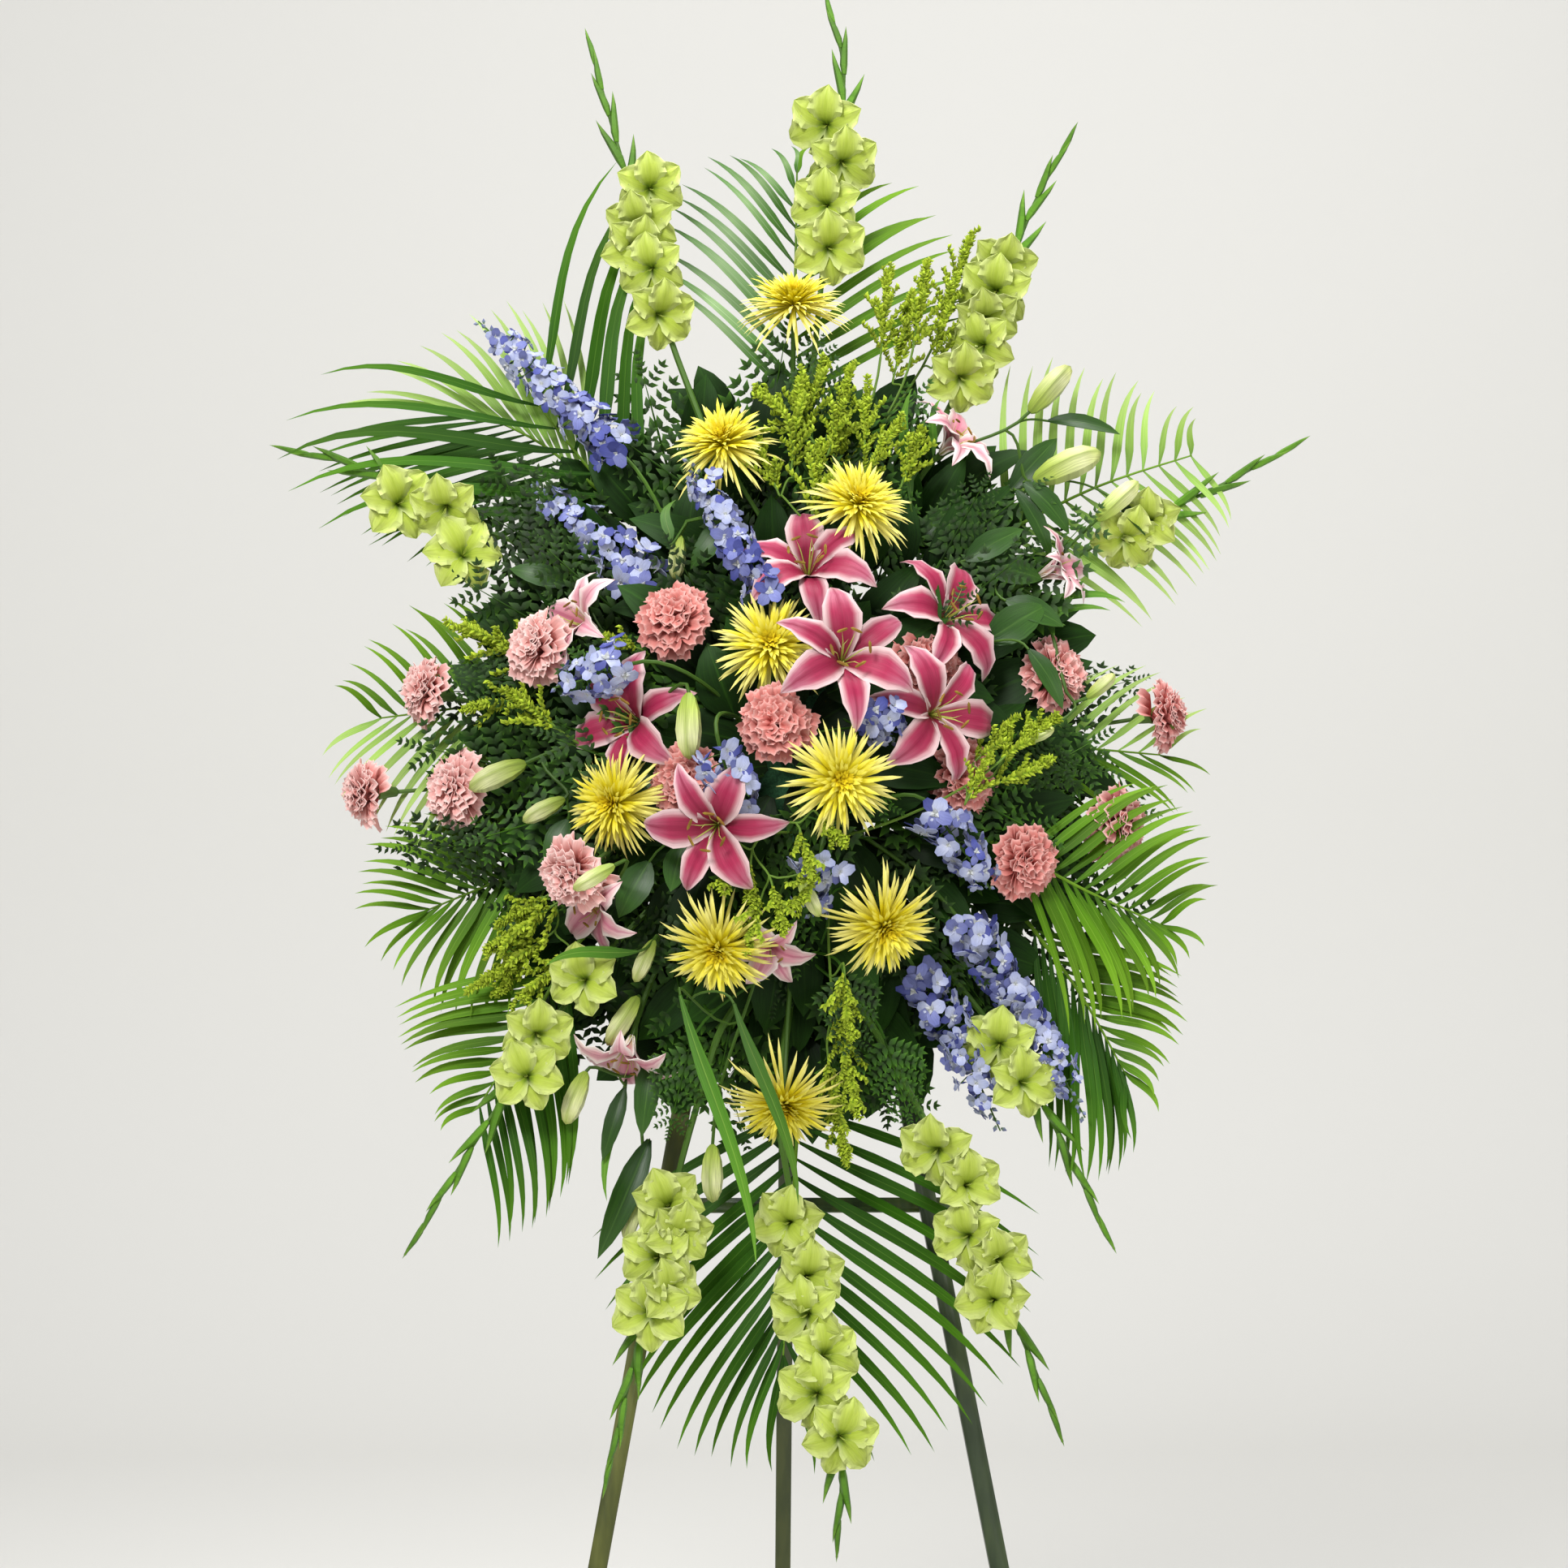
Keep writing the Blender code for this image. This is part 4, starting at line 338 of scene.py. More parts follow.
def dress(piece, slot, *nodes, body="front"):  # makes a finished piece ride on its body and stand for its solids, which it hides
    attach(piece, body)
    if nodes:
        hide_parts(*nodes)
    return piece


def smoothThrough(points, steps):  # points on a smooth line through a few
    line = [points[0]]
    for k in range(len(points) - 1):
        before = points[max(k - 1, 0)]
        after = points[min(k + 2, len(points) - 1)]
        low, high = points[k], points[k + 1]
        line += interpolate_bezier(low, low + (high - before) / 6, high - (after - low) / 6, high, steps + 1)[1:]
    return line


def pointAlong(line, share):  # the point this share of the way along a line of points, and the line's direction there
    lengths = [(b - a).length for a, b in zip(line, line[1:])]
    left = share * sum(lengths)
    for k, length in enumerate(lengths):
        if left <= length or k == len(lengths) - 1:
            way = (line[k + 1] - line[k]).normalized()
            return line[k] + way * min(left, length), way
        left -= length


# Materials
def colour(hexCode):  # a colour as it is read off a screen, made linear
    parts = [int(hexCode[k : k + 2], 16) / 255 for k in (0, 2, 4)]
    return (*(p / 12.92 if p <= 0.04045 else ((p + 0.055) / 1.055) ** 2.4 for p in parts), 1)


def newMaterial(name):
    material = bpy.data.materials.new(name)
    material.use_nodes = True
    return material, material.node_tree.nodes, material.node_tree.links


def plantMaterial(
    name, ramp, edge=None, midrib=None, streak=0.25, spread=0.25, rough=0.5, bump=0.3, sheen=0.0, gloss=0.22
):  # a petal's or leaf's surface: colours along it, an edge and a midrib across it, streaks that follow its veins, and a shade of its own for each copy
    material, nodes, links = newMaterial(name)
    shader = nodes["Principled BSDF"]
    shader.inputs["Roughness"].default_value = rough
    shader.inputs["Sheen Weight"].default_value = sheen
    shader.inputs["Specular IOR Level"].default_value = gloss
    along, side, tint = (nodes.new("ShaderNodeAttribute") for _ in range(3))
    along.attribute_name, side.attribute_name, tint.attribute_name = "along", "side", "tint"
    colours = nodes.new("ShaderNodeValToRGB")
    links.new(along.outputs["Fac"], colours.inputs["Fac"])
    stops = colours.color_ramp.elements
    for k, (where, code) in enumerate(ramp):
        stop = stops[k] if k < 2 else stops.new(where)
        stop.position = where
        stop.color = colour(code)
    painted = colours.outputs["Color"]
    away = nodes.new("ShaderNodeMath")
    away.operation = "ABSOLUTE"
    links.new(side.outputs["Fac"], away.inputs[0])
    for band, inwards in ((edge, False), (midrib, True)):
        if not band:
            continue
        reach = nodes.new("ShaderNodeMapRange")
        reach.interpolation_type = "SMOOTHSTEP"
        links.new(away.outputs[0], reach.inputs["Value"])
        reach.inputs["From Min"].default_value = band[1]
        reach.inputs["From Max"].default_value = 0.0 if inwards else 1.0
        reach.inputs["To Max"].default_value = band[2]
        mix = nodes.new("ShaderNodeMix")
        mix.data_type = "RGBA"
        links.new(reach.outputs["Result"], mix.inputs["Factor"])
        links.new(painted, mix.inputs["A"])
        mix.inputs["B"].default_value = colour(band[0])
        painted = mix.outputs["Result"]
    veins = nodes.new("ShaderNodeCombineXYZ")
    for socket, source, scale in (("X", side, 9.0), ("Y", along, 1.6), ("Z", tint, 40.0)):
        stretch = nodes.new("ShaderNodeMath")
        stretch.operation = "MULTIPLY"
        stretch.inputs[1].default_value = scale
        links.new(source.outputs["Fac"], stretch.inputs[0])
        links.new(stretch.outputs[0], veins.inputs[socket])
    grain = nodes.new("ShaderNodeTexNoise")
    grain.inputs["Scale"].default_value = 1.6
    grain.inputs["Detail"].default_value = 4
    links.new(veins.outputs["Vector"], grain.inputs["Vector"])
    shade = nodes.new("ShaderNodeHueSaturation")
    links.new(painted, shade.inputs["Color"])
    own = nodes.new("ShaderNodeMapRange")  # each copy's own lightness
    links.new(tint.outputs["Fac"], own.inputs["Value"])
    own.inputs["To Min"].default_value = 1 - spread
    own.inputs["To Max"].default_value = 1 + spread
    streaks = nodes.new("ShaderNodeMapRange")
    links.new(grain.outputs["Fac"], streaks.inputs["Value"])
    streaks.inputs["From Min"].default_value = 0.3
    streaks.inputs["From Max"].default_value = 0.7
    streaks.inputs["To Min"].default_value = 1 - streak
    streaks.inputs["To Max"].default_value = 1 + streak
    both = nodes.new("ShaderNodeMath")
    both.operation = "MULTIPLY"
    links.new(own.outputs["Result"], both.inputs[0])
    links.new(streaks.outputs["Result"], both.inputs[1])
    links.new(both.outputs[0], shade.inputs["Value"])
    links.new(shade.outputs["Color"], shader.inputs["Base Color"])
    relief = nodes.new("ShaderNodeBump")
    relief.inputs["Strength"].default_value = bump
    relief.inputs["Distance"].default_value = 0.0006
    links.new(grain.outputs["Fac"], relief.inputs["Height"])
    links.new(relief.outputs["Normal"], shader.inputs["Normal"])
    return material


def surfaceMaterial(name, codes, scale, rough, stretch=(1, 1, 1), turn=0.0, bump=0.3, distance=0.0005, metallic=0.0, contrast=0.2):  # wood, foam, plastic or metal: two or three colours mixed by a noise on the object's own coordinates
    material, nodes, links = newMaterial(name)
    shader = nodes["Principled BSDF"]
    shader.inputs["Metallic"].default_value = metallic
    place = nodes.new("ShaderNodeTexCoord")
    mapping = nodes.new("ShaderNodeMapping")
    mapping.inputs["Rotation"].default_value = (0, turn, 0)
    mapping.inputs["Scale"].default_value = stretch
    links.new(place.outputs["Object"], mapping.inputs["Vector"])
    grain = nodes.new("ShaderNodeTexNoise")
    grain.inputs["Scale"].default_value = scale
    grain.inputs["Detail"].default_value = 6
    links.new(mapping.outputs["Vector"], grain.inputs["Vector"])
    colours = nodes.new("ShaderNodeValToRGB")
    links.new(grain.outputs["Fac"], colours.inputs["Fac"])
    stops = colours.color_ramp.elements
    for k, code in enumerate(codes):
        where = 0.5 + contrast * (2 * k / (len(codes) - 1) - 1)
        stop = stops[k] if k < 2 else stops.new(where)
        stop.position = where
        stop.color = colour(code)
    links.new(colours.outputs["Color"], shader.inputs["Base Color"])
    worn = nodes.new("ShaderNodeMapRange")
    links.new(grain.outputs["Fac"], worn.inputs["Value"])
    worn.inputs["To Min"].default_value = rough - 0.12
    worn.inputs["To Max"].default_value = rough + 0.12
    links.new(worn.outputs["Result"], shader.inputs["Roughness"])
    relief = nodes.new("ShaderNodeBump")
    relief.inputs["Strength"].default_value = bump
    relief.inputs["Distance"].default_value = distance
    links.new(grain.outputs["Fac"], relief.inputs["Height"])
    links.new(relief.outputs["Normal"], shader.inputs["Normal"])
    return material

# Where each flower stands: a solid was moved back or aside until it was clear, and its known point tells how far
moved = {
    "steps": (0, 0.014, -0.014, 0.028, -0.028, 0.042, -0.042, 0.056, -0.056, 0.07, 0.085, 0.10),
    "asides": ((0, 0), (14, 0), (-14, 0), (0, 14), (0, -14), (22, 16), (-22, -16)),
    "near": 0.006,
}
trees = {}
for node, points in solidPoints.items():
    trees[node] = KDTree(len(points))
    for k, point in enumerate(points):
        trees[node].insert(point, k)
    trees[node].balance()


def standing(node, spots, forwards, known, aside=True):  # the points of these spots on the solid that stands in the frame
    best = None
    for right, down in moved["asides"] if aside else moved["asides"][:1]:
        for step in moved["steps"]:
            points = []
            for (x, y), forward in zip(spots, forwards):
                spot = (x + right, y + down)
                points.append(spotAt(spot, (dome(spot) if forward is None else forward) + step))
            miss = trees[node].find(known(points))[2]
            if best is None or miss < best[0]:
                best = (miss, points)
            if (right, down, step) == (0, 0, 0):
                asDrawn = points
    return best[1] if best[0] < moved["near"] else asDrawn


def lastOf(points):
    return points[-1]


def newPlant(node):  # what a plant node's piece is gathered from: its parts, and the middle lines and radii of its stems
    return {"node": node, "parts": [], "lines": [], "radii": []}


def addStem(plant, end, wayIn, radii, steps=12):
    line = stemLine(plant["node"], end, wayIn, steps)
    plant["lines"].append(line if not plant["lines"] else line[1:])
    plant["radii"].append(radii)
    return line


def branchTo(plant, end, wayIn, radii):  # a stalk from the nearest stem of the same plant to this point
    starts = [(p, line[k + 1] - p) for line in plant["lines"] for k, p in enumerate(line[2:-1], 2)]
    start, way = min(starts, key=lambda pair: (pair[0] - end).length)
    span = (end - start).length
    out = ((end - start).normalized() + way.normalized()).normalized()
    curve = interpolate_bezier(start, start + out * span * 0.4, end - wayIn * span * 0.35, end, 8)
    plant["lines"].append(curve)
    plant["radii"].append(radii)


def gather(plant, slot, material):  # joins a plant's parts and stems to the piece that stands for its node
    stems = stemPiece("stems", plant["lines"], plant["radii"], material)
    piece = joined(plant["node"] + "_detail", [stems, *plant["parts"]])
    print(piece.name, len(piece.data.polygons), "faces")
    return dress(piece, slot, plant["node"])


origin = Vector()
forwardAxis = Vector((0, 0, 1))
golden = math.radians(137.508)

# Greens that several plants share
stemGreen = plantMaterial("stem", [(0, "3a5a1a"), (1, "4c6e24")], spread=0.25, rough=0.5)
leafGreen = plantMaterial("leaf", [(0, "355c12"), (0.5, "45741a"), (1, "5c8826")], midrib=("7d9c40", 0.12, 0.5), rough=0.4)
# a leaf green darkened almost to black: a real leaf colour with painted shade, for the leaves deep in the bush behind
# the flowers
shadedFillGreen = plantMaterial(
    "fillLeafPaintedShade", [(0, "0b1c04"), (0.6, "142e07"), (1, "1f400c")], midrib=("2c5012", 0.1, 0.4), rough=0.5, gloss=0.12
)
broadGreen = plantMaterial(
    "broadLeaf", [(0, "1c3c0c"), (0.5, "284a14"), (1, "355a1c")], midrib=("4c702c", 0.1, 0.4), rough=0.4, gloss=0.3
)

# A lance leaf, 100 mm long: along, high, half its width, lift of its edges
lanceLeaf = sheetMaster(
    "lanceLeaf",
    [
        (0, 0, 0.0025, 0.001), (0.012, 0.003, 0.0085, 0.003), (0.028, 0.0065, 0.0130, 0.004), (0.048, 0.008, 0.0140, 0.003),
        (0.068, 0.0055, 0.0115, 0.002), (0.085, 0.001, 0.0070, 0.001), (0.100, -0.006, 0, 0),
    ],
    thick=0.0006,
)


# A long blade for palm leaflets and sword leaves: its length is 1, and its middle bows aside in its own plane
blade = {"half": 0.0088, "lift": 0.28, "droop": 0.025, "bows": (0, 0.012, -0.012, 0.030, -0.030)}


def bladeMaster(bow):
    rows = []
    for k in range(11):
        along = k / 10
        half = blade["half"] * min(1, 0.2 + 2.7 * along) * (1 - along**3)
        rows.append((along, blade["droop"] * math.sin(math.pi * along), half, half * blade["lift"]))
    return sheetMaster("blade", rows, columns=2, thick=0.0007, sway=bow)


blades = {bow: bladeMaster(bow) for bow in blade["bows"]}


def bladeAt(base, tip, width, facing, material, bow=0.0):  # a long leaf from its base to its tip, with its middle bowed upwards
    length = (tip - base).length
    own = bow if (tip - base).cross(facing).z > 0 else -bow
    leaf = copyOf(blades[own], placed(base, tip - base, facing, length, width / 2 / blade["half"], length), chance.random())
    leaf.data.materials.append(material)
    return leaf


def leafAt(base, tip, width, facing, material, tint=None):
    length = (tip - base).length
    leaf = copyOf(lanceLeaf, placed(base, tip - base, facing, length / 0.1, width / 0.028), tint or chance.random())
    leaf.data.materials.append(material)
    return leaf


# Lilies: six tepals swept back at their tips, six stamens and a pistil
lilyPaint = {
    "along": [(0, "9caa3c"), (0.09, "8e3c44"), (0.24, "88203c"), (0.55, "a23050"), (0.80, "b8667c"), (1, "e0c4c2")],
    "edge": ("e8d2d0", 0.46, 0.78),
    "midrib": ("8c163c", 0.28, 0.6),
}
lilyPetalPaint = plantMaterial(
    "lilyPetal", lilyPaint["along"], lilyPaint["edge"], lilyPaint["midrib"], streak=0.14, spread=0.12, rough=0.45, bump=0.5
)
lilyPalePaint = plantMaterial(
    "lilyPale", [(0, "aab466"), (0.25, "c8848e"), (0.6, "d89aa6"), (1, "ecd8d4")], ("f2e6e0", 0.45, 0.9), ("ae4468", 0.28, 0.6),
    streak=0.14, spread=0.1, rough=0.45,
)
filamentPaint = plantMaterial("filament", [(0, "97a832"), (1, "c2c870")], streak=0.05, spread=0.1, rough=0.4)
antherPaint = plantMaterial("anther", [(0, "7a5a22"), (1, "8c7a2a")], streak=0.3, spread=0.2, rough=0.8)
lilyBudPaint = plantMaterial(
    "lilyBud", [(0, "7f9a34"), (0.25, "a3b454"), (0.7, "cdd09a"), (1, "b4bc68")], midrib=("8c9e44", 0.3, 0.6), spread=0.14, rough=0.45
)
lilyTepal = sheetMaster(
    "lilyTepal",
    [
        (0, 0, 0.0050, 0.002), (0.009, 0.011, 0.0100, 0.005), (0.022, 0.022, 0.0165, 0.005), (0.036, 0.0290, 0.0212, 0.002),
        (0.050, 0.0310, 0.0222, 0.004), (0.063, 0.0285, 0.0190, -0.003), (0.075, 0.0215, 0.0132, 0.002),
        (0.084, 0.0100, 0.0062, -0.001), (0.088, -0.0010, 0, 0),
    ],
    columns=6,
    thick=0.0008,
    frill=(0.0016, 2, 0, 4),
)
filament = spindleMaster(
    "filament",
    [(0, 0, 0.0008, 0.0008), (0.012, 0.018, 0.0008, 0.0008), (0.022, 0.034, 0.0007, 0.0007), (0.034, 0.045, 0.0004, 0.0004)],
)
anther = spindleMaster("anther", [(-0.007, 0, 0.0008, 0.0008), (-0.004, 0, 0.0017, 0.0017), (0.004, 0, 0.0017, 0.0017), (0.007, 0, 0, 0)])
lilyBud = spindleMaster(
    "lilyBud",
    [
        (0, 0, 0.0022, 0.0022), (0.005, 0, 0.0052, 0.0052), (0.020, 0.001, 0.0085, 0.0085), (0.040, 0.0015, 0.0098, 0.0098),
        (0.056, 0.001, 0.0082, 0.0082), (0.066, 0, 0.0045, 0.0045), (0.070, 0, 0, 0),
    ],
    sides=6,
)


def lilyHead(name, opening, paint):  # a lily 168 mm wide, as far open as this
    parts = []
    lift = (1 - opening) * 1.25
    root = Vector((0, 0, -0.024))
    for k in range(6):
        inner = k % 2 == 0
        way = radial(k * math.tau / 6 + chance.uniform(-0.1, 0.1), lift + chance.uniform(-0.10, 0.10))
        place = placed(root - forwardAxis * (0 if inner else 0.002), way, forwardAxis, 0.94, 1 if inner else 0.74)
        part = copyOf(lilyTepal, place, chance.random())
        part.data.materials.append(paint)
        parts.append(part)
    for k in range(6):
        turn = (k + 0.5) * math.tau / 6 + chance.uniform(-0.2, 0.2)
        place = placed(root, radial(turn, 0.25), forwardAxis, 0.95)
        part = copyOf(filament, place, 0.5)
        part.data.materials.append(filamentPaint)
        end = place @ Vector((0, 0.034, 0.045))
        top = copyOf(anther, placed(end, radial(turn + math.pi / 2, 0.2), forwardAxis), chance.random())
        top.data.materials.append(antherPaint)
        parts += [part, top]
    pistil = copyOf(filament, placed(root, radial(4.0, 0.75), forwardAxis, 1.15, 1.7, 1.15), 0.4)
    pistil.data.materials.append(filamentPaint)
    return headMaster(name, [*parts, pistil])


lilyHeads = [lilyHead("lilyOpen", 1.0, lilyPetalPaint), lilyHead("lilyWide", 0.90, lilyPetalPaint)]
lilySideHead = lilyHead("lilySide", 0.70, lilyPalePaint)
lilyHalfHead = lilyHead("lilyHalf", 0.5, lilyPalePaint)

# Each lily stem: flowers as spot, size, lean, how far forward and how far open; buds as base, tip and how far
# forward; leaves as those and their width
lilyStems = {
    "lily_top": {
        "flowers": [((1173, 545), 0.13, (0.9, 0.5), None, 0.75)],
        "buds": [((1283, 507), (1334, 450), 0.08), ((1274, 592), (1358, 556), 0.09)],
        "leaves": [
            ((1292, 518), (1382, 531), 0.085, 0.020), ((1246, 602), (1304, 538), 0.085, 0.030),
            ((1262, 594), (1320, 655), 0.095, 0.030), ((1252, 604), (1298, 688), 0.10, 0.022),
            ((1298, 606), (1360, 582), 0.08, 0.024), ((1376, 619), (1414, 658), 0.09, 0.016),
            ((1150, 680), (1215, 640), 0.13, 0.032), ((1190, 690), (1262, 650), 0.12, 0.030),
        ],
        "blades": [((1122, 618), (1124, 478), 0.13, 0.014), ((1150, 560), (1160, 490), 0.11, 0.010)],
    },
    "lily_right": {
        "flowers": [
            ((1175, 755), 0.16, (0.3, 0.1), None, 1), ((1160, 878), 0.16, (0.2, -0.1), None, 1),
            ((1296, 704), 0.12, (1.2, 0.3), None, 0.6),
        ],
        "buds": [
            ((1352, 640), (1404, 592), 0.10), ((1340, 860), (1375, 830), 0.12), ((1262, 915), (1300, 897), 0.16),
        ],
        "leaves": [
            ((1215, 790), (1290, 745), 0.15, 0.040), ((1230, 700), (1300, 712), 0.12, 0.034),
            ((1268, 800), (1312, 872), 0.16, 0.024), ((1240, 740), (1312, 770), 0.13, 0.030),
        ],
        "blades": [((1290, 735), (1388, 742), 0.09, 0.010), ((1262, 762), (1370, 752), 0.10, 0.010)],
    },
    "lily_centre": {
        "flowers": [((1042, 808), 0.168, (0.05, 0), 0.27, 1), ((995, 695), 0.16, (-0.1, 0.2), 0.21, 1)],
        "buds": [((838, 660), (832, 715), 0.16)],
        "leaves": [((905, 640), (850, 700), 0.15, 0.030)],
        "blades": [((826, 668), (833, 616), 0.17, 0.014)],
    },
    "lily_left": {
        "flowers": [((775, 888), 0.16, (-0.3, 0), None, 1), ((718, 768), 0.135, (-0.9, 0.3), None, 0.8)],
        "buds": [
            ((849, 854), (849, 936), 0.24), ((648, 940), (578, 972), 0.13), ((696, 984), (644, 1012), 0.14),
        ],
        "leaves": [
            ((700, 720), (628, 700), 0.10, 0.026), ((820, 930), (770, 985), 0.17, 0.028), ((700, 1010), (672, 1065), 0.13, 0.026),
        ],
    },
    "lily_lower": {
        "flowers": [((878, 1020), 0.16, (-0.1, -0.1), 0.25, 1), ((947, 1162), 0.12, (0.1, -0.3), 0.20, 0.6)],
        "buds": [((878, 1410), (878, 1482), 0.11), ((985, 1080), (1010, 1130), 0.22)],
        "leaves": [((800, 1062), (762, 1130), 0.17, 0.036), ((842, 1040), (826, 1098), 0.19, 0.030)],
        "blades": [((838, 1226), (932, 1560), 0.215, 0.017), ((904, 1236), (984, 1486), 0.23, 0.015)],
    },
    "lily_low_left": {
        "flowers": [
            ((738, 1112), 0.14, (-0.7, -0.5), None, 0.9), ((773, 1295), 0.13, (-0.2, -1.2), None, 0.8),
        ],
        "buds": [
            ((757, 1066), (706, 1096), 0.26), ((806, 1172), (782, 1224), 0.16), ((786, 1214), (748, 1274), 0.15),
            ((772, 1470), (757, 1528), 0.07), ((722, 1320), (697, 1385), 0.09),
        ],
        "leaves": [
            ((800, 1404), (737, 1550), 0.075, 0.030), ((806, 1300), (790, 1400), 0.10, 0.028), ((770, 1340), (742, 1430), 0.09, 0.020),
        ],
        "blades": [((786, 1172), (672, 1190), 0.16, 0.014), ((772, 1330), (748, 1480), 0.08, 0.012)],
    },
}
for node, data in lilyStems.items():
    plant = newPlant(node)
    for spot, size, lean, forward, opening in data["flowers"]:
        facing = leaned(spot, lean)
        back = facing * size / 2 * 0.3
        centre = standing(node, [spot], [forward], lambda points: points[0] - back)[0]
        addStem(plant, centre - back, facing, (0.0030, 0.0032))
        head = lilyHalfHead if opening < 0.7 else lilySideHead if opening < 0.95 else chance.choice(lilyHeads)
        plant["parts"].append(copyOf(head, turnedHead(centre, facing, chance.uniform(0, math.tau), size / 0.168)))
    for low, high, forward in data["buds"]:
        base, tip = standing(node, [low, high], [forward, forward], lastOf)
        branchTo(plant, base, (tip - base).normalized(), (0.0018, 0.0021))
        size = (tip - base).length / 0.07
        plump = 1.45 * size**1.1
        bud = copyOf(lilyBud, placed(base, tip - base, outward(low), size, plump, plump), chance.random())
        bud.data.materials.append(lilyBudPaint)
        plant["parts"].append(bud)
    for low, high, forward, width in data["leaves"]:
        base, tip = standing(node, [low, high], [forward, forward], lastOf)
        branchTo(plant, base, (tip - base).normalized(), (0.0014, 0.0014))
        plant["parts"].append(leafAt(base, tip, width, outward(low, 0.6), broadGreen))
    for low, high, forward, width in data.get("blades", []):
        base, tip = spotAt(low, forward), spotAt(high, forward)
        branchTo(plant, base, (tip - base).normalized(), (0.0014, 0.0014))
        plant["parts"].append(bladeAt(base, tip, width, outward(low, 0.6), leafGreen, 0.012))
    gather(plant, "lily", stemGreen)
print("lilies done")

# Spider mums: pointed quills, longest round the outside, on a short core
mumPaint = plantMaterial(
    "mumPetal", [(0, "d4be0e"), (0.2, "dccc14"), (0.6, "e6d828"), (1, "eae062")], streak=0.08, spread=0.08, rough=0.6, bump=0.3
)
mumPalePaint = plantMaterial(
    "mumPale", [(0, "dac81e"), (0.3, "e2d640"), (1, "ece48c")], streak=0.08, spread=0.08, rough=0.6, bump=0.3
)
mumHeartPaint = plantMaterial("mumHeart", [(0, "c8aa0a"), (0.6, "d8bc12"), (1, "e4d024")], streak=0.08, spread=0.12, rough=0.65)
mumQuill = spindleMaster(
    "mumQuill",
    [
        (0, 0, 0.0012, 0.0008), (0.016, 0.0010, 0.0018, 0.0009), (0.038, 0.0024, 0.0021, 0.0010), (0.058, 0.0014, 0.0016, 0.0008),
        (0.071, -0.0030, 0, 0),
    ],
    sides=4,
)


def mumHead(name):  # a spider mum 125 mm wide
    parts = []
    count = 250
    for k in range(count):
        share = (k + 0.5) / count
        tilt = -0.50 + 1.95 * share**0.8 + chance.uniform(-0.16, 0.16)
        length = (1.0 - 0.74 * share**0.9) * chance.uniform(0.78, 1.06)
        way = radial(k * golden + chance.uniform(-0.25, 0.25), tilt)
        upper = (forwardAxis - radial(k * golden, 0) * (0.9 * share)).normalized()
        wide = 0.9 + 0.5 * share
        petal = copyOf(
            mumQuill, placed(way * 0.004 - forwardAxis * 0.004, way, upper, length, wide, max(length, 0.5)), chance.random()
        )
        petal.data.materials.append(mumHeartPaint if share > 0.78 else mumPaint if share > 0.32 else mumPalePaint)
        parts.append(petal)
    return headMaster(name, parts)


mumHeads = [mumHead("mumRound"), mumHead("mumLoose")]
mumBunches = {
    "mum_top": [((978, 372), (0, 0.5), 0.13)],
    "mums_upper": [((890, 545), (-0.1, 0.1), 0.17), ((1057, 620), (0.1, 0), 0.20)],
    "mums_middle": [((949, 795), (0, 0), 0.23), ((757, 990), (-0.2, 0), 0.19), ((1036, 962), (0, 0), 0.27)],
    "mums_lower": [
        ((885, 1170), (-0.1, -0.1), 0.20), ((1090, 1142), (0.1, -0.1), 0.21), ((952, 1362), (0, 0), 0.175),
    ],
}
for node, flowers in mumBunches.items():
    plant = newPlant(node)
    for spot, lean, forward in flowers:
        facing = leaned(spot, lean)
        centre = standing(node, [spot], [forward], lambda points: points[0] + facing * 0.113 * 0.17 * 0.95)[0]
        addStem(plant, centre - facing * 0.008, facing, (0.0027, 0.0024))
        plant["parts"].append(copyOf(chance.choice(mumHeads), turnedHead(centre, facing, chance.uniform(0, math.tau))))
    gather(plant, "mum", stemGreen)
print("mums done")

# Carnations: fans with toothed, waved edges, packed in a green cup
carnationPaints = {
    "salmon": plantMaterial(
        "carnationSalmon", [(0, "b0443c"), (0.45, "c66860"), (0.85, "d48880"), (1, "e4aca4")], streak=0.08, spread=0.10, rough=0.7
    ),
    "pink": plantMaterial(
        "carnationPink", [(0, "c05c58"), (0.45, "d07c76"), (0.85, "dc9a94"), (1, "e9beb8")], streak=0.08, spread=0.10, rough=0.7
    ),
    "pale": plantMaterial(
        "carnationPale", [(0, "cc7a74"), (0.45, "dc9a92"), (0.85, "e6b2ac"), (1, "efcec8")], streak=0.08, spread=0.08, rough=0.7
    ),
}
calyxPaint = plantMaterial("calyx", [(0, "4c6a30"), (1, "5f7c3c")], streak=0.15, spread=0.1, rough=0.55)
carnationPetal = sheetMaster(
    "carnationPetal",
    [
        (0, 0, 0.0028, 0), (0.014, 0.003, 0.0080, 0.002), (0.026, 0.005, 0.0140, 0.001), (0.0345, 0.0030, 0.0172, 0),
        (0.0385, -0.0010, 0.0168, 0),
    ],
    columns=12,
    thick=0.0005,
    frill=(0.0024, 2, 0.0009, 4),
)
calyx = spindleMaster(
    "calyx",
    [(0, 0, 0.003, 0.003), (0.003, 0, 0.0062, 0.0062), (0.020, 0, 0.0078, 0.0078), (0.026, 0, 0.0095, 0.0095), (0.028, 0, 0, 0)],
    sides=8,
)


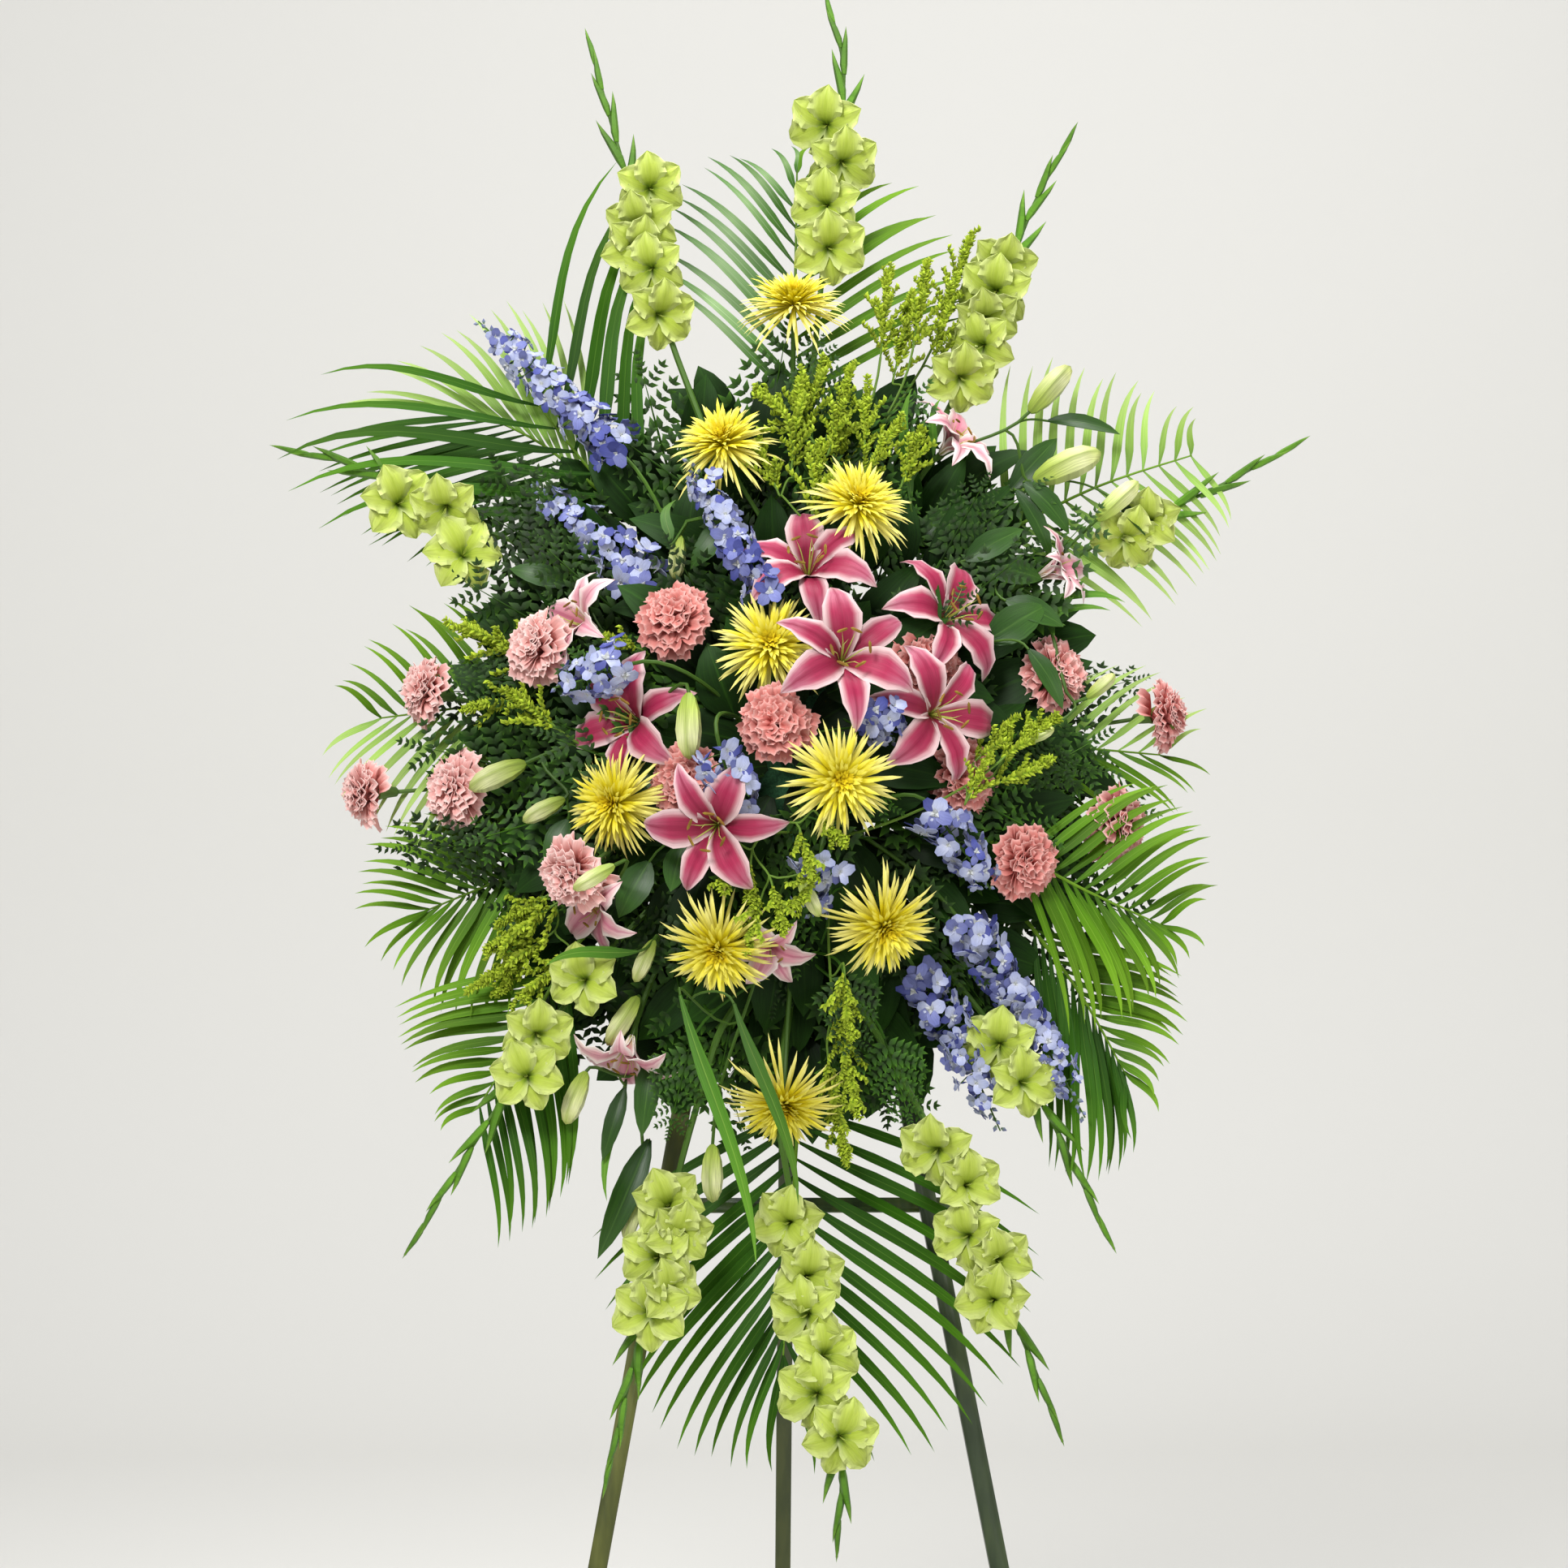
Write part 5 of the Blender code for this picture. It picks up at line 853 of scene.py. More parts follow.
def carnationHead(name, paint):  # a carnation 78 mm wide
    parts = []
    root = Vector((0, 0, -0.019))
    count = 44
    for k in range(count):
        share = (k + 0.5) / count
        tilt = 0.05 + 1.35 * share**0.8 + chance.uniform(-0.22, 0.22)
        way = radial(k * golden + chance.uniform(-0.2, 0.2), tilt)
        size = (1.12 - 0.16 * share) * chance.uniform(0.88, 1.06)
        upper = (forwardAxis - radial(k * golden, 0) * share).normalized()
        petal = copyOf(carnationPetal, placed(root + forwardAxis * 0.004 * share, way, upper, size), chance.random())
        petal.data.materials.append(paint)
        parts.append(petal)
    cup = copyOf(calyx, placed(Vector((0, 0, -0.0437)), forwardAxis, Vector((1, 0, 0))), 0.5)
    cup.data.materials.append(calyxPaint)
    return headMaster(name, [*parts, cup])


carnationHeads = {
    tone: [carnationHead(tone + "Full", paint), carnationHead(tone + "Open", paint)] for tone, paint in carnationPaints.items()
}
carnationBunches = {
    ("carnations_left", "pale"): [
        ((661, 797), 1, (-0.2, 0), None), ((523, 851), 0.9, (-0.6, 0.1), None), ((450, 978), 0.9, (-0.9, -0.1), None),
        ((560, 975), 1, (-0.2, 0), None), ((705, 1077), 1, (-0.2, -0.2), None),
    ],
    ("carnations_inner_left", "salmon"): [
        ((830, 762), 1, (0, 0), None), ((846, 963), 1, (0, 0), None), ((957, 890), 1, (0, 0), None),
    ],
    ("carnations_inner_right", "salmon"): [
        ((1154, 816), 1, (0, 0), 0.17), ((1186, 958), 1, (0, 0), None), ((1264, 1062), 1, (0, 0), None),
    ],
    ("carnations_right", "pink"): [
        ((1304, 830), 1, (0.2, 0), None), ((1438, 880), 0.9, (0.9, 0.1), None), ((1381, 1015), 1, (0.2, 0), None),
    ],
}
for (node, tone), flowers in carnationBunches.items():
    plant = newPlant(node)
    for spot, size, lean, forward in flowers:
        facing = leaned(spot, lean)
        reach = 0.039 * size
        centre = standing(node, [spot], [forward], lambda points: points[0] + facing * reach * 0.30)[0]
        addStem(plant, centre - facing * 0.043 * size, facing, (0.0023, 0.0026))
        place = turnedHead(centre, facing, chance.uniform(0, math.tau), size)
        plant["parts"].append(copyOf(chance.choice(carnationHeads[tone]), place))
    gather(plant, "carnation", calyxPaint)
print("carnations done")

# Gladioli: ruffled florets on the front of a spike, then sheathed buds in two ranks to its tip
gladiolusPaint = plantMaterial(
    "gladiolusPetal", [(0, "3c5410"), (0.10, "6c8420"), (0.20, "9cae3a"), (0.6, "acbc4e"), (1, "bcc872")], ("ccd492", 0.30, 0.6),
    ("98ac30", 0.16, 0.5), streak=0.10, spread=0.10, rough=0.65, bump=0.5,
)
sheathPaint = plantMaterial("sheath", [(0, "5a8a1e"), (0.6, "4a7618"), (1, "6c9430")], streak=0.16, spread=0.2, rough=0.5)
gladiolusTepal = sheetMaster(
    "gladiolusTepal",
    [
        (0, 0, 0.0060, 0.001), (0.009, 0.0128, 0.0122, 0.003), (0.017, 0.0192, 0.0178, -0.0015), (0.025, 0.0218, 0.0212, 0.0048),
        (0.032, 0.0218, 0.0198, -0.0036), (0.039, 0.0206, 0.0202, 0.0052), (0.046, 0.0180, 0.0150, -0.0032),
        (0.052, 0.0145, 0.0088, 0.0030), (0.0570, 0.0105, 0, 0),
    ],
    columns=8,
    thick=0.0006,
    frill=(0.0026, 5, 0, 4),
)
sheathBud = spindleMaster(
    "sheathBud",
    [(0, 0, 0.0030, 0.0028), (0.012, 0.001, 0.0056, 0.0046), (0.028, 0.001, 0.0054, 0.0042), (0.044, 0, 0.0032, 0.0026), (0.060, 0, 0, 0)],
    sides=6,
)
spathe = sheetMaster(
    "spathe",
    [(0, 0, 0.0045, 0.003), (0.012, 0.001, 0.0075, 0.0045), (0.028, 0.001, 0.0070, 0.004), (0.042, 0, 0.0035, 0.001), (0.050, -0.001, 0, 0)],
    thick=0.0006,
)


# Its tepals, the hood first: turn in degrees, lift, length, width and how far behind the others
floretTepals = [
    (90, 0.16, 0.98, 1.12, 0), (210, -0.05, 0.90, 1.04, 0), (330, -0.05, 0.90, 1.04, 0),
    (30, 0.08, 0.94, 1.02, 0.002), (150, 0.08, 0.94, 1.02, 0.002), (270, -0.22, 0.86, 0.88, 0.002),
]


def gladiolusHead(name, opening):  # a gladiolus floret 82 mm wide
    parts = []
    root = Vector((0, 0, -0.026))
    for turn, tilt, size, wide, back in floretTepals:
        way = radial(math.radians(turn) + chance.uniform(-0.1, 0.1), tilt + (1 - opening) * 0.9 + chance.uniform(-0.1, 0.1))
        part = copyOf(gladiolusTepal, placed(root - forwardAxis * back, way, forwardAxis, size, wide), chance.random())
        part.data.materials.append(gladiolusPaint)
        parts.append(part)
    for turn in (1.2, 1.6, 2.0):
        part = copyOf(filament, placed(root, radial(turn, 0.75), forwardAxis, 0.62), 0.6)
        part.data.materials.append(filamentPaint)
        parts.append(part)
    return headMaster(name, parts)


gladiolusHeads = [gladiolusHead("floretOpen", 1.0), gladiolusHead("floretWide", 0.9), gladiolusHead("floretCupped", 0.7)]

# Each spike: the stem's spots out to its tip, its open florets, how far forward it starts and ends, and its buds
gladioli = {
    "gladiolus_top": {
        "stem": [(1000, 470), (1014, 330), (1028, 200), (1040, 90), (1020, 2)],
        "florets": [(1020, 303), (1018, 250), (1038, 201), (1018, 154)],
        "forward": (0.085, 0.05),
        "buds": 5,
    },
    "gladiolus_top_left": {
        "stem": [(880, 560), (820, 400), (795, 290), (764, 190), (726, 54)],
        "florets": [(813, 388), (804, 330), (782, 308), (791, 277), (800, 232)],
        "forward": (0.09, 0.05),
        "buds": 6,
    },
    "gladiolus_top_right": {
        "stem": [(1120, 600), (1190, 460), (1235, 350), (1275, 250), (1320, 165)],
        "florets": [(1186, 460), (1212, 424), (1212, 388), (1230, 357), (1235, 321)],
        "forward": (0.09, 0.05),
        "buds": 6,
    },
    "gladiolus_left": {
        "stem": [(760, 740), (640, 670), (545, 640), (450, 580), (353, 554)],
        "florets": [(570, 683), (550, 625), (492, 620)],
        "forward": (0.08, 0.05),
        "buds": 6,
    },
    "gladiolus_right": {
        "stem": [(1200, 770), (1310, 695), (1400, 645), (1500, 600), (1600, 545)],
        "florets": [(1391, 660), (1418, 643)],
        "forward": (0.08, 0.05),
        "buds": 8,
    },
    "gladiolus_low_left": {
        "stem": [(830, 1090), (725, 1200), (655, 1300), (590, 1400), (507, 1533)],
        "florets": [(719, 1206), (661, 1270), (652, 1324)],
        "forward": (0.10, 0.07),
        "buds": 7,
    },
    "gladiolus_bottom_left": {
        "stem": [(880, 1290), (840, 1430), (812, 1560), (780, 1680), (747, 1826)],
        "florets": [(826, 1482), (833, 1518), (812, 1547), (822, 1588), (804, 1614)],
        "forward": (0.12, 0.10),
        "buds": 7,
    },
    "gladiolus_bottom": {
        "stem": [(965, 1420), (985, 1540), (1005, 1680), (1035, 1800), (1032, 1905)],
        "florets": [(972, 1502), (991, 1569), (993, 1617), (1017, 1665), (1006, 1714), (1036, 1769)],
        "forward": (0.13, 0.10),
        "buds": 5,
    },
    "gladiolus_bottom_right": {
        "stem": [(1090, 1290), (1160, 1420), (1210, 1540), (1260, 1650), (1305, 1765)],
        "florets": [(1154, 1417), (1191, 1458), (1191, 1521), (1229, 1554), (1225, 1599)],
        "forward": (0.12, 0.09),
        "buds": 6,
    },
    "gladiolus_low_right": {
        "stem": [(1130, 1150), (1230, 1275), (1290, 1370), (1330, 1450), (1368, 1528)],
        "florets": [(1233, 1286), (1261, 1334)],
        "forward": (0.10, 0.06),
        "buds": 7,
    },
}


def nearestOn(line, point):  # the nearest point of a line, its direction there, and how far along it is
    best = None
    done = 0
    for a, b in zip(line, line[1:]):
        way = b - a
        share = max(0, min(1, (point - a).dot(way) / way.length_squared))
        found = a + way * share
        if best is None or (found - point).length < best[0]:
            best = ((found - point).length, found, way.normalized(), done + way.length * share)
        done += way.length
    return best[1:]


for node, data in gladioli.items():
    plant = newPlant(node)
    near, far = data["forward"]
    last = len(data["stem"]) - 1
    forwards = [near + (far - near) * k / last for k in range(last + 1)]
    guide = smoothThrough(standing(node, data["stem"], forwards, lastOf, aside=False), 4)
    line = addStem(plant, guide[0], (guide[1] - guide[0]).normalized(), (0.0042, 0.0040))
    plant["lines"].append([line[-2], *guide, guide[-1] + (guide[-1] - guide[-2]).normalized() * 0.012])
    plant["radii"].append((0.0040, 0.0014))
    step = (guide[0] - spotAt(data["stem"][0], near)).y
    reached = 0
    for order, spot in enumerate(data["florets"]):
        guess = spotAt(spot, (near + far) / 2) + Vector((0, step, 0))
        onStem, way, along = nearestOn(guide, guess)
        reached = max(reached, along)
        toward = (eye - guess).normalized()
        aside = (guess - onStem) - (guess - onStem).project(toward)
        side = way.cross(toward).normalized() * (-1) ** order
        centre = onStem + aside * 0.95 + toward * 0.036 + side * 0.004
        root = onStem - way * 0.012
        facing = (toward + side * (0.26 + chance.uniform(-0.15, 0.15)) - way * chance.uniform(-0.15, 0.2)).normalized()
        hood = Vector((chance.uniform(-0.3, 0.3), 0, 1)) + way * 0.5 * abs(way.x)
        upright = (hood - hood.project(facing)).normalized()
        size = chance.uniform(0.78, 0.88)
        plant["parts"].append(copyOf(chance.choice(gladiolusHeads), placed(centre, upright, facing, size)))
        plant["lines"].append([root, root.lerp(centre - facing * 0.026, 0.5) + way * -0.003, centre - facing * 0.025])
        plant["radii"].append((0.0028, 0.0036))
        cover = copyOf(spathe, placed(root - way * 0.004, way * 0.75 + toward * 0.4, toward, 0.9), chance.random())
        cover.data.materials.append(sheathPaint)
        plant["parts"].append(cover)
    total = sum((b - a).length for a, b in zip(guide, guide[1:]))
    start = reached + 0.026
    count = max(3, round((total - start) / 0.034))
    for k in range(count + 1):
        base, way = pointAlong(guide, min((start + (total - start) * k / count) / total, 0.999))
        toward = (eye - base).normalized()
        sideways = way.cross(toward).normalized() * (-1) ** k
        leanOut = 0.30 * (1 - k / count)
        size = 1.18 * (1 - 0.38 * k / count)
        out = (way + sideways * leanOut + toward * 0.12).normalized()
        bud = copyOf(sheathBud, placed(base - way * 0.026, out, -sideways, size, size, size), chance.random())
        bud.data.materials.append(sheathPaint)
        plant["parts"].append(bud)
    gather(plant, "gladiolus", stemGreen)
print("gladioli done")

# Delphiniums: five-petalled florets with a pale eye in a spiral, smaller to the tip, then buds
delphiniumPaints = {
    "deep": plantMaterial("larkDeep", [(0, "7a7eae"), (0.3, "545a98"), (1, "40468a")], streak=0.16, spread=0.24, rough=0.6),
    "middle": plantMaterial("larkMiddle", [(0, "a2a8cc"), (0.3, "7a80b2"), (1, "646aa4")], streak=0.16, spread=0.22, rough=0.6),
    "pale": plantMaterial("larkPale", [(0, "d4d6dc"), (0.4, "b4bad4"), (1, "98a0c8")], streak=0.16, spread=0.14, rough=0.6),
}
eyePaint = plantMaterial("delphiniumEye", [(0, "c9ccbc"), (1, "b9bdcb")], streak=0.1, spread=0.1, rough=0.6)
delphiniumBudPaint = plantMaterial("delphiniumBud", [(0, "6f8a54"), (0.5, "7c84a0"), (1, "5d62a0")], spread=0.2, rough=0.55)
sepal = sheetMaster(
    "sepal",
    [(0, 0, 0.0016, 0), (0.005, 0.0022, 0.0046, 0.0014), (0.011, 0.0016, 0.0058, -0.0010), (0.0165, -0.0012, 0.0026, 0.0006)],
    columns=2,
    thick=0.0005,
)
tinyBud = spindleMaster("tinyBud", [(0, 0, 0.0012, 0.0012), (0.004, 0, 0.0031, 0.0031), (0.009, 0, 0, 0)], sides=5)


def delphiniumHead(name, opening, tones):  # a delphinium floret 33 mm wide, its sepals of uneven size and tone, with its spur behind
    parts = []
    for k in range(5):
        way = radial(k * math.tau / 5 + chance.uniform(-0.2, 0.2), 1 - opening + chance.uniform(-0.25, 0.3))
        size = chance.uniform(0.82, 1.12)
        part = copyOf(sepal, placed(Vector((0, 0, -0.001 * (k % 2))), way, forwardAxis, size, chance.uniform(0.9, 1.25)), chance.random())
        part.data.materials.append(delphiniumPaints[chance.choice(tones)])
        parts.append(part)
    for k in range(3):
        part = copyOf(tinyBud, placed(Vector((0, 0, 0)), radial(k * math.tau / 3 + 0.4, 0.8), forwardAxis, 0.8), 0.5)
        part.data.materials.append(eyePaint)
        parts.append(part)
    spur = copyOf(tinyBud, placed(Vector((0, 0, 0.001)), Vector((0, 0.3, -1)), Vector((1, 0, 0)), 1.7, 0.7, 0.7), 0.5)
    spur.data.materials.append(delphiniumPaints["deep"])
    return headMaster(name, [*parts, spur])


delphiniumHeads = {
    name: [delphiniumHead(name + shape, opening, tones) for shape, opening in (("Open", 0.95), ("Cupped", 0.62), ("Half", 0.4))]
    for name, tones in (("deep", ("deep", "deep", "middle")), ("middle", ("deep", "middle", "pale")), ("pale", ("middle", "pale", "pale")))
}
# Each spike: its spots, how far forward it stands, and how pale it is
delphiniumGroups = {
    "delphinium_upper_left": [
        ([(769, 562), (670, 470), (590, 397)], 0.10, 0.35), ([(803, 723), (735, 660), (657, 598)], 0.13, 0.7),
    ],
    "delphinium_upper": [([(950, 735), (895, 650), (848, 566)], 0.22, 0.4)],
    "delphinium_left": [
        ([(774, 819), (729, 835), (682, 848)], 0.19, 0.9), ([(887, 921), (900, 960), (930, 1000)], 0.27, 0.8),
    ],
    "delphinium_right": [
        ([(1011, 1055), (1008, 1090), (1000, 1130)], 0.25, 0.6), ([(1148, 994), (1185, 1045), (1221, 1096)], 0.19, 0.6),
        ([(1127, 1193), (1185, 1290), (1233, 1394)], 0.13, 0.3), ([(1180, 1130), (1260, 1240), (1338, 1378)], 0.12, 0.4),
        ([(1075, 870), (1090, 892), (1100, 915)], 0.25, 0.6),
    ],
}
for node, spikes in delphiniumGroups.items():
    plant = newPlant(node)
    for spots, forward, paleness in spikes:
        forwards = [forward - 0.02 * k for k in range(3)]
        guide = smoothThrough(standing(node, spots, forwards, lastOf, aside=False), 4)
        way = (guide[1] - guide[0]).normalized()
        line = addStem(plant, guide[0], way, (0.0024, 0.0021))
        plant["lines"].append([line[-2], *guide])
        plant["radii"].append((0.0021, 0.0009))
        length = sum((b - a).length for a, b in zip(guide, guide[1:]))
        count = max(14, round(length / 0.0047))
        for k in range(count):
            share = (k + 0.5) / count
            point, way = pointAlong(guide, share)
            toward = (eye - point).normalized()
            turn = k * golden + chance.uniform(-0.5, 0.5)
            side = way.cross(toward).normalized()
            out = (toward * (math.cos(turn) + 0.35) + side * math.sin(turn)).normalized()
            size = (1.15 - 0.5 * share) * chance.uniform(0.78, 1.12)
            reach = chance.uniform(0.010, 0.027) * (1.1 - 0.55 * share)
            centre = point + out * reach + way * chance.uniform(0, 0.008)
            stray = Vector((chance.uniform(-1, 1), chance.uniform(-1, 1), chance.uniform(-1, 1))) * 0.5
            facing = (out + way * 0.35 + toward * 0.25 + stray).normalized()
            if share > 0.86:
                part = copyOf(tinyBud, placed(point + out * 0.002, out + way * 1.1, toward, 1.2 * size), chance.random())
                part.data.materials.append(delphiniumBudPaint)
            else:
                light = chance.random() < paleness * (0.45 + share)
                tone = "pale" if light else "middle" if chance.random() < 0.35 + share else "deep"
                part = copyOf(chance.choice(delphiniumHeads[tone]), turnedHead(centre, facing, chance.uniform(0, math.tau), size))
                plant["lines"].append([point, point.lerp(centre, 0.5) - way * 0.001, centre - facing * 0.001])
                plant["radii"].append((0.0007, 0.0007))
            plant["parts"].append(part)
    gather(plant, "delphinium", stemGreen)
print("delphiniums done")

# Palm fronds: folded leaflets along both sides of a rib, whose tips lie on a curve through three
# The palm greens are one green at different strengths of painted light and shade: the darker ones for shaded fronds and
# sides, the lighter ones for lit ones
palmPaints = {
    "dark": plantMaterial("palmDark", [(0, "1f420a"), (0.5, "2e580a"), (1, "487414")], midrib=("5c822c", 0.10, 0.4), rough=0.5, spread=0.28, gloss=0.10),
    "fresh": plantMaterial("palmFresh", [(0, "385e0a"), (0.5, "507a10"), (1, "6c9420")], midrib=("7ea038", 0.10, 0.4), rough=0.5, spread=0.28, gloss=0.12),
    "light": plantMaterial("palmLight", [(0, "6c9438"), (0.5, "8cb04c"), (1, "a4bf6c")], midrib=("b0c67e", 0.10, 0.4), rough=0.5, spread=0.16),
    # pale: a dark green leaflet with a painted sheen, whitish in its middle and along its midrib
    "pale": plantMaterial(
        "palmPaintedSheen", [(0, "26480f"), (0.3, "46702c"), (0.6, "7e9c68"), (0.85, "4e7836"), (1, "3c6828")], midrib=("a9bb96", 0.12, 0.4),
        rough=0.42, spread=0.25,
    ),
}


def onCurve(tips, share):
    tip = tips[0] * (1 - share) ** 2 + tips[2] * share**2
    return tip + (tips[1] - (tips[0] + tips[2]) / 4) * (4 * share * (1 - share))


# Each frond: the rib's spots, leaflets a side and their width in metres, where the first, middle and last tips are
# on each side, how far forward it starts and ends, the green of each side with its painted light, shade and sheen, and
# how far its leaflets bow
fronds = {
    "frond_top": {
        "rib": [(977, 500), (980, 345), (982, 212)], "count": 12, "width": 0.0125,
        "left": [(806, 352), (846, 226), (969, 182)], "right": [(1196, 388), (1142, 258), (1000, 186)],
        "solidEnd": (982, 205), "forward": (0.05, 0.03), "paints": ("pale", "fresh"), "bow": 0.012,
    },
    "frond_top_left": {
        "rib": [(790, 640), (728, 580), (664, 500)], "count": 5, "width": 0.0165,
        "left": [(452, 668), (352, 592), (400, 462)], "right": [(838, 330), (818, 262), (758, 214)],
        "solidEnd": (650, 455), "forward": (0.06, 0.05), "paints": ("dark", "dark"), "bow": 0.030,
    },
    "frond_left_high": {
        "rib": [(745, 610), (668, 548), (595, 512)], "count": 12, "width": 0.0120,
        "left": [(545, 715), (425, 640), (385, 555)], "right": [(690, 372), (560, 405), (430, 500)],
        "solidEnd": (440, 505), "forward": (0.03, 0.02), "paints": ("dark", "light"), "bow": 0.012,
    },
    "frond_right_high": {
        "rib": [(1230, 660), (1350, 600), (1470, 560)], "count": 12, "width": 0.0115,
        "left": [(1245, 452), (1378, 462), (1476, 520)], "right": [(1400, 770), (1480, 715), (1518, 640)],
        "forward": (0.05, 0.04), "paints": ("light", "light"), "bow": 0.012,
    },
    "frond_left": {
        "rib": [(740, 850), (600, 868), (470, 885)], "count": 13, "width": 0.0110,
        "left": [(600, 1040), (478, 1030), (402, 935)], "right": [(610, 735), (500, 762), (408, 850)],
        "forward": (0.04, 0.03), "paints": ("light", "fresh"), "bow": 0.012,
    },
    "frond_right": {
        "rib": [(1190, 915), (1310, 920), (1430, 930)], "count": 9, "width": 0.0085,
        "left": [(1330, 820), (1430, 840), (1485, 900)], "right": [(1330, 1010), (1430, 1010), (1485, 960)],
        "forward": (0.05, 0.04), "paints": ("light", "fresh"), "bow": 0.012,
    },
    "frond_low_left_upper": {
        "rib": [(700, 1050), (615, 1085), (530, 1120)], "count": 11, "width": 0.0125,
        "left": [(625, 1262), (535, 1245), (455, 1165)], "right": [(560, 990), (465, 1040), (445, 1115)],
        "forward": (0.06, 0.05), "paints": ("fresh", "fresh"), "bow": 0.012,
    },
    "frond_low_left": {
        "rib": [(700, 1180), (645, 1275), (591, 1362)], "count": 12, "width": 0.0125,
        "left": [(480, 1236), (505, 1310), (548, 1400)], "right": [(700, 1440), (668, 1500), (612, 1531)],
        "forward": (0.07, 0.06), "paints": ("fresh", "dark"), "bow": 0.012,
    },
    "frond_low_right_upper": {
        "rib": [(1250, 1050), (1340, 1098), (1432, 1140)], "count": 13, "width": 0.0125,
        "left": [(1405, 965), (1478, 1020), (1494, 1115)], "right": [(1320, 1272), (1410, 1240), (1478, 1172)],
        "solidEnd": (1444, 1134), "forward": (0.115, 0.085), "paints": ("fresh", "fresh"), "bow": 0.012,
    },
    "frond_low_right": {
        "rib": [(1270, 1140), (1335, 1230), (1386, 1321)], "count": 13, "width": 0.0125,
        "left": [(1450, 1200), (1456, 1275), (1418, 1370)], "right": [(1290, 1440), (1345, 1455), (1396, 1412)],
        "solidEnd": (1383, 1321), "forward": (0.07, 0.06), "paints": ("fresh", "dark"), "bow": 0.012,
    },
    "frond_bottom": {
        "rib": [(985, 1350), (975, 1510), (965, 1670)], "count": 14, "width": 0.0150,
        "left": [(1285, 1500), (1215, 1730), (1010, 1812)], "right": [(735, 1530), (800, 1745), (950, 1815)],
        "solidEnd": (965, 1700), "forward": (0.05, 0.04), "paints": ("dark", "dark"), "bow": 0.012,
    },
}
for node, data in fronds.items():
    plant = newPlant(node)
    near, far = data["forward"]
    forwards = [near, (near + far) / 2, far]
    known = data.get("solidEnd", data["rib"][-1])
    ribSpots = standing(node, [*data["rib"], known], [*forwards, far], lastOf, aside=False)[:3]
    rib = smoothThrough(ribSpots, 5)
    line = addStem(plant, rib[0], (rib[1] - rib[0]).normalized(), (0.0028, 0.0026))
    plant["lines"].append([line[-2], *rib])
    plant["radii"].append((0.0026, 0.0010))
    step = ribSpots[1].y - spotAt(data["rib"][1], (near + far) / 2).y
    shift = Vector((0, step, 0))
    facing = Vector((0, -1, 0.15)).normalized()
    for tipSpots, tone in zip((data["left"], data["right"]), data["paints"]):
        tips = [spotAt(spot, (near + far) / 2) + shift for spot in tipSpots]
        count = data["count"]
        for k in range(count + 1):
            share = k / count
            base, way = pointAlong(rib, 0.04 + 0.955 * share)
            tip = onCurve(tips, share) + facing * chance.uniform(-0.02, 0.03)
            tip += Vector((chance.uniform(-1, 1), 0, chance.uniform(-1, 1))) * 0.007
            upper = (facing + Vector((chance.uniform(-0.35, 0.35), 0, 0.25 + chance.uniform(-0.3, 0.3)))).normalized()
            wide = data["width"] * (0.7 + 0.3 * math.sin(math.pi * min(1, share + 0.15))) * chance.uniform(0.9, 1.1)
            plant["parts"].append(bladeAt(base, tip, wide, upper, palmPaints[tone], data["bow"]))
    gather(plant, "palm", palmPaints["fresh"])
print("fronds done")

# Leatherleaf ferns: lobed leaflets on side ribs, longest at the base
fernPaint = plantMaterial("fernLeaf", [(0, "162c04"), (0.6, "284a0a"), (1, "446c16")], rough=0.5, spread=0.6, gloss=0.2)
fernLobe = spindleMaster(
    "fernLobe",
    [(0, 0, 0.0016, 0.0004), (0.0070, 0.0004, 0.0040, 0.0006), (0.018, -0.0010, 0, 0)],
    sides=4,
)
fernRib = spindleMaster("fernRib", [(0, 0, 0.0008, 0.0008), (0.5, 0, 0.0006, 0.0006), (1, 0, 0, 0)], sides=4)


def fernPinna(name, lobes):  # a side branch of a fern leaf, 50 mm long
    parts = []
    rib = copyOf(fernRib, placed(origin, Vector((0, 1, 0)), forwardAxis, 0.048), 0.5)
    rib.data.materials.append(fernPaint)
    parts.append(rib)
    for k in range(lobes):
        share = (k + 0.4) / lobes
        size = 0.95 * (1 - 0.35 * share)
        for side in (-1, 1):
            way = Vector((side * 0.85, 0.62, chance.uniform(-0.1, 0.12)))
            lobe = copyOf(fernLobe, placed(Vector((0, 0.050 * share, 0)), way, forwardAxis, size, size * 1.15), chance.random())
            lobe.data.materials.append(fernPaint)
            parts.append(lobe)
    end = copyOf(fernLobe, placed(Vector((0, 0.044, 0)), Vector((0, 1, 0)), forwardAxis, 0.7), chance.random())
    end.data.materials.append(fernPaint)
    return headMaster(name, [*parts, end])


fernPinnae = [fernPinna("pinnaLong", 5), fernPinna("pinnaShort", 4)]


def fernLeaf(name, arch):  # a fern leaf 150 mm long and as wide at its base, along +Y
    parts = []
    count = 6
    rib = copyOf(fernRib, placed(origin, Vector((0, 1, 0)), forwardAxis, 0.15, 1.9, 1.9), 0.5)
    rib.data.materials.append(fernPaint)
    parts.append(rib)
    for k in range(count):
        share = k / count
        along = 0.010 + 0.132 * share
        size = 1.3 * (1 - 0.62 * share)
        for side in (-1, 1):
            way = Vector((side, 0.55 + 0.35 * share, -arch * share + chance.uniform(-0.12, 0.12)))
            pinna = copyOf(fernPinnae[0 if share < 0.5 else 1], placed(Vector((0, along, 0)), way, forwardAxis, size), None)
            parts.append(pinna)
    end = copyOf(fernPinnae[1], placed(Vector((0, 0.132, 0)), Vector((0, 1, 0)), forwardAxis, 0.5), None)
    return headMaster(name, [*parts, end])


fernLeaves = [fernLeaf("fernFlat", 0.1), fernLeaf("fernArched", 0.4)]

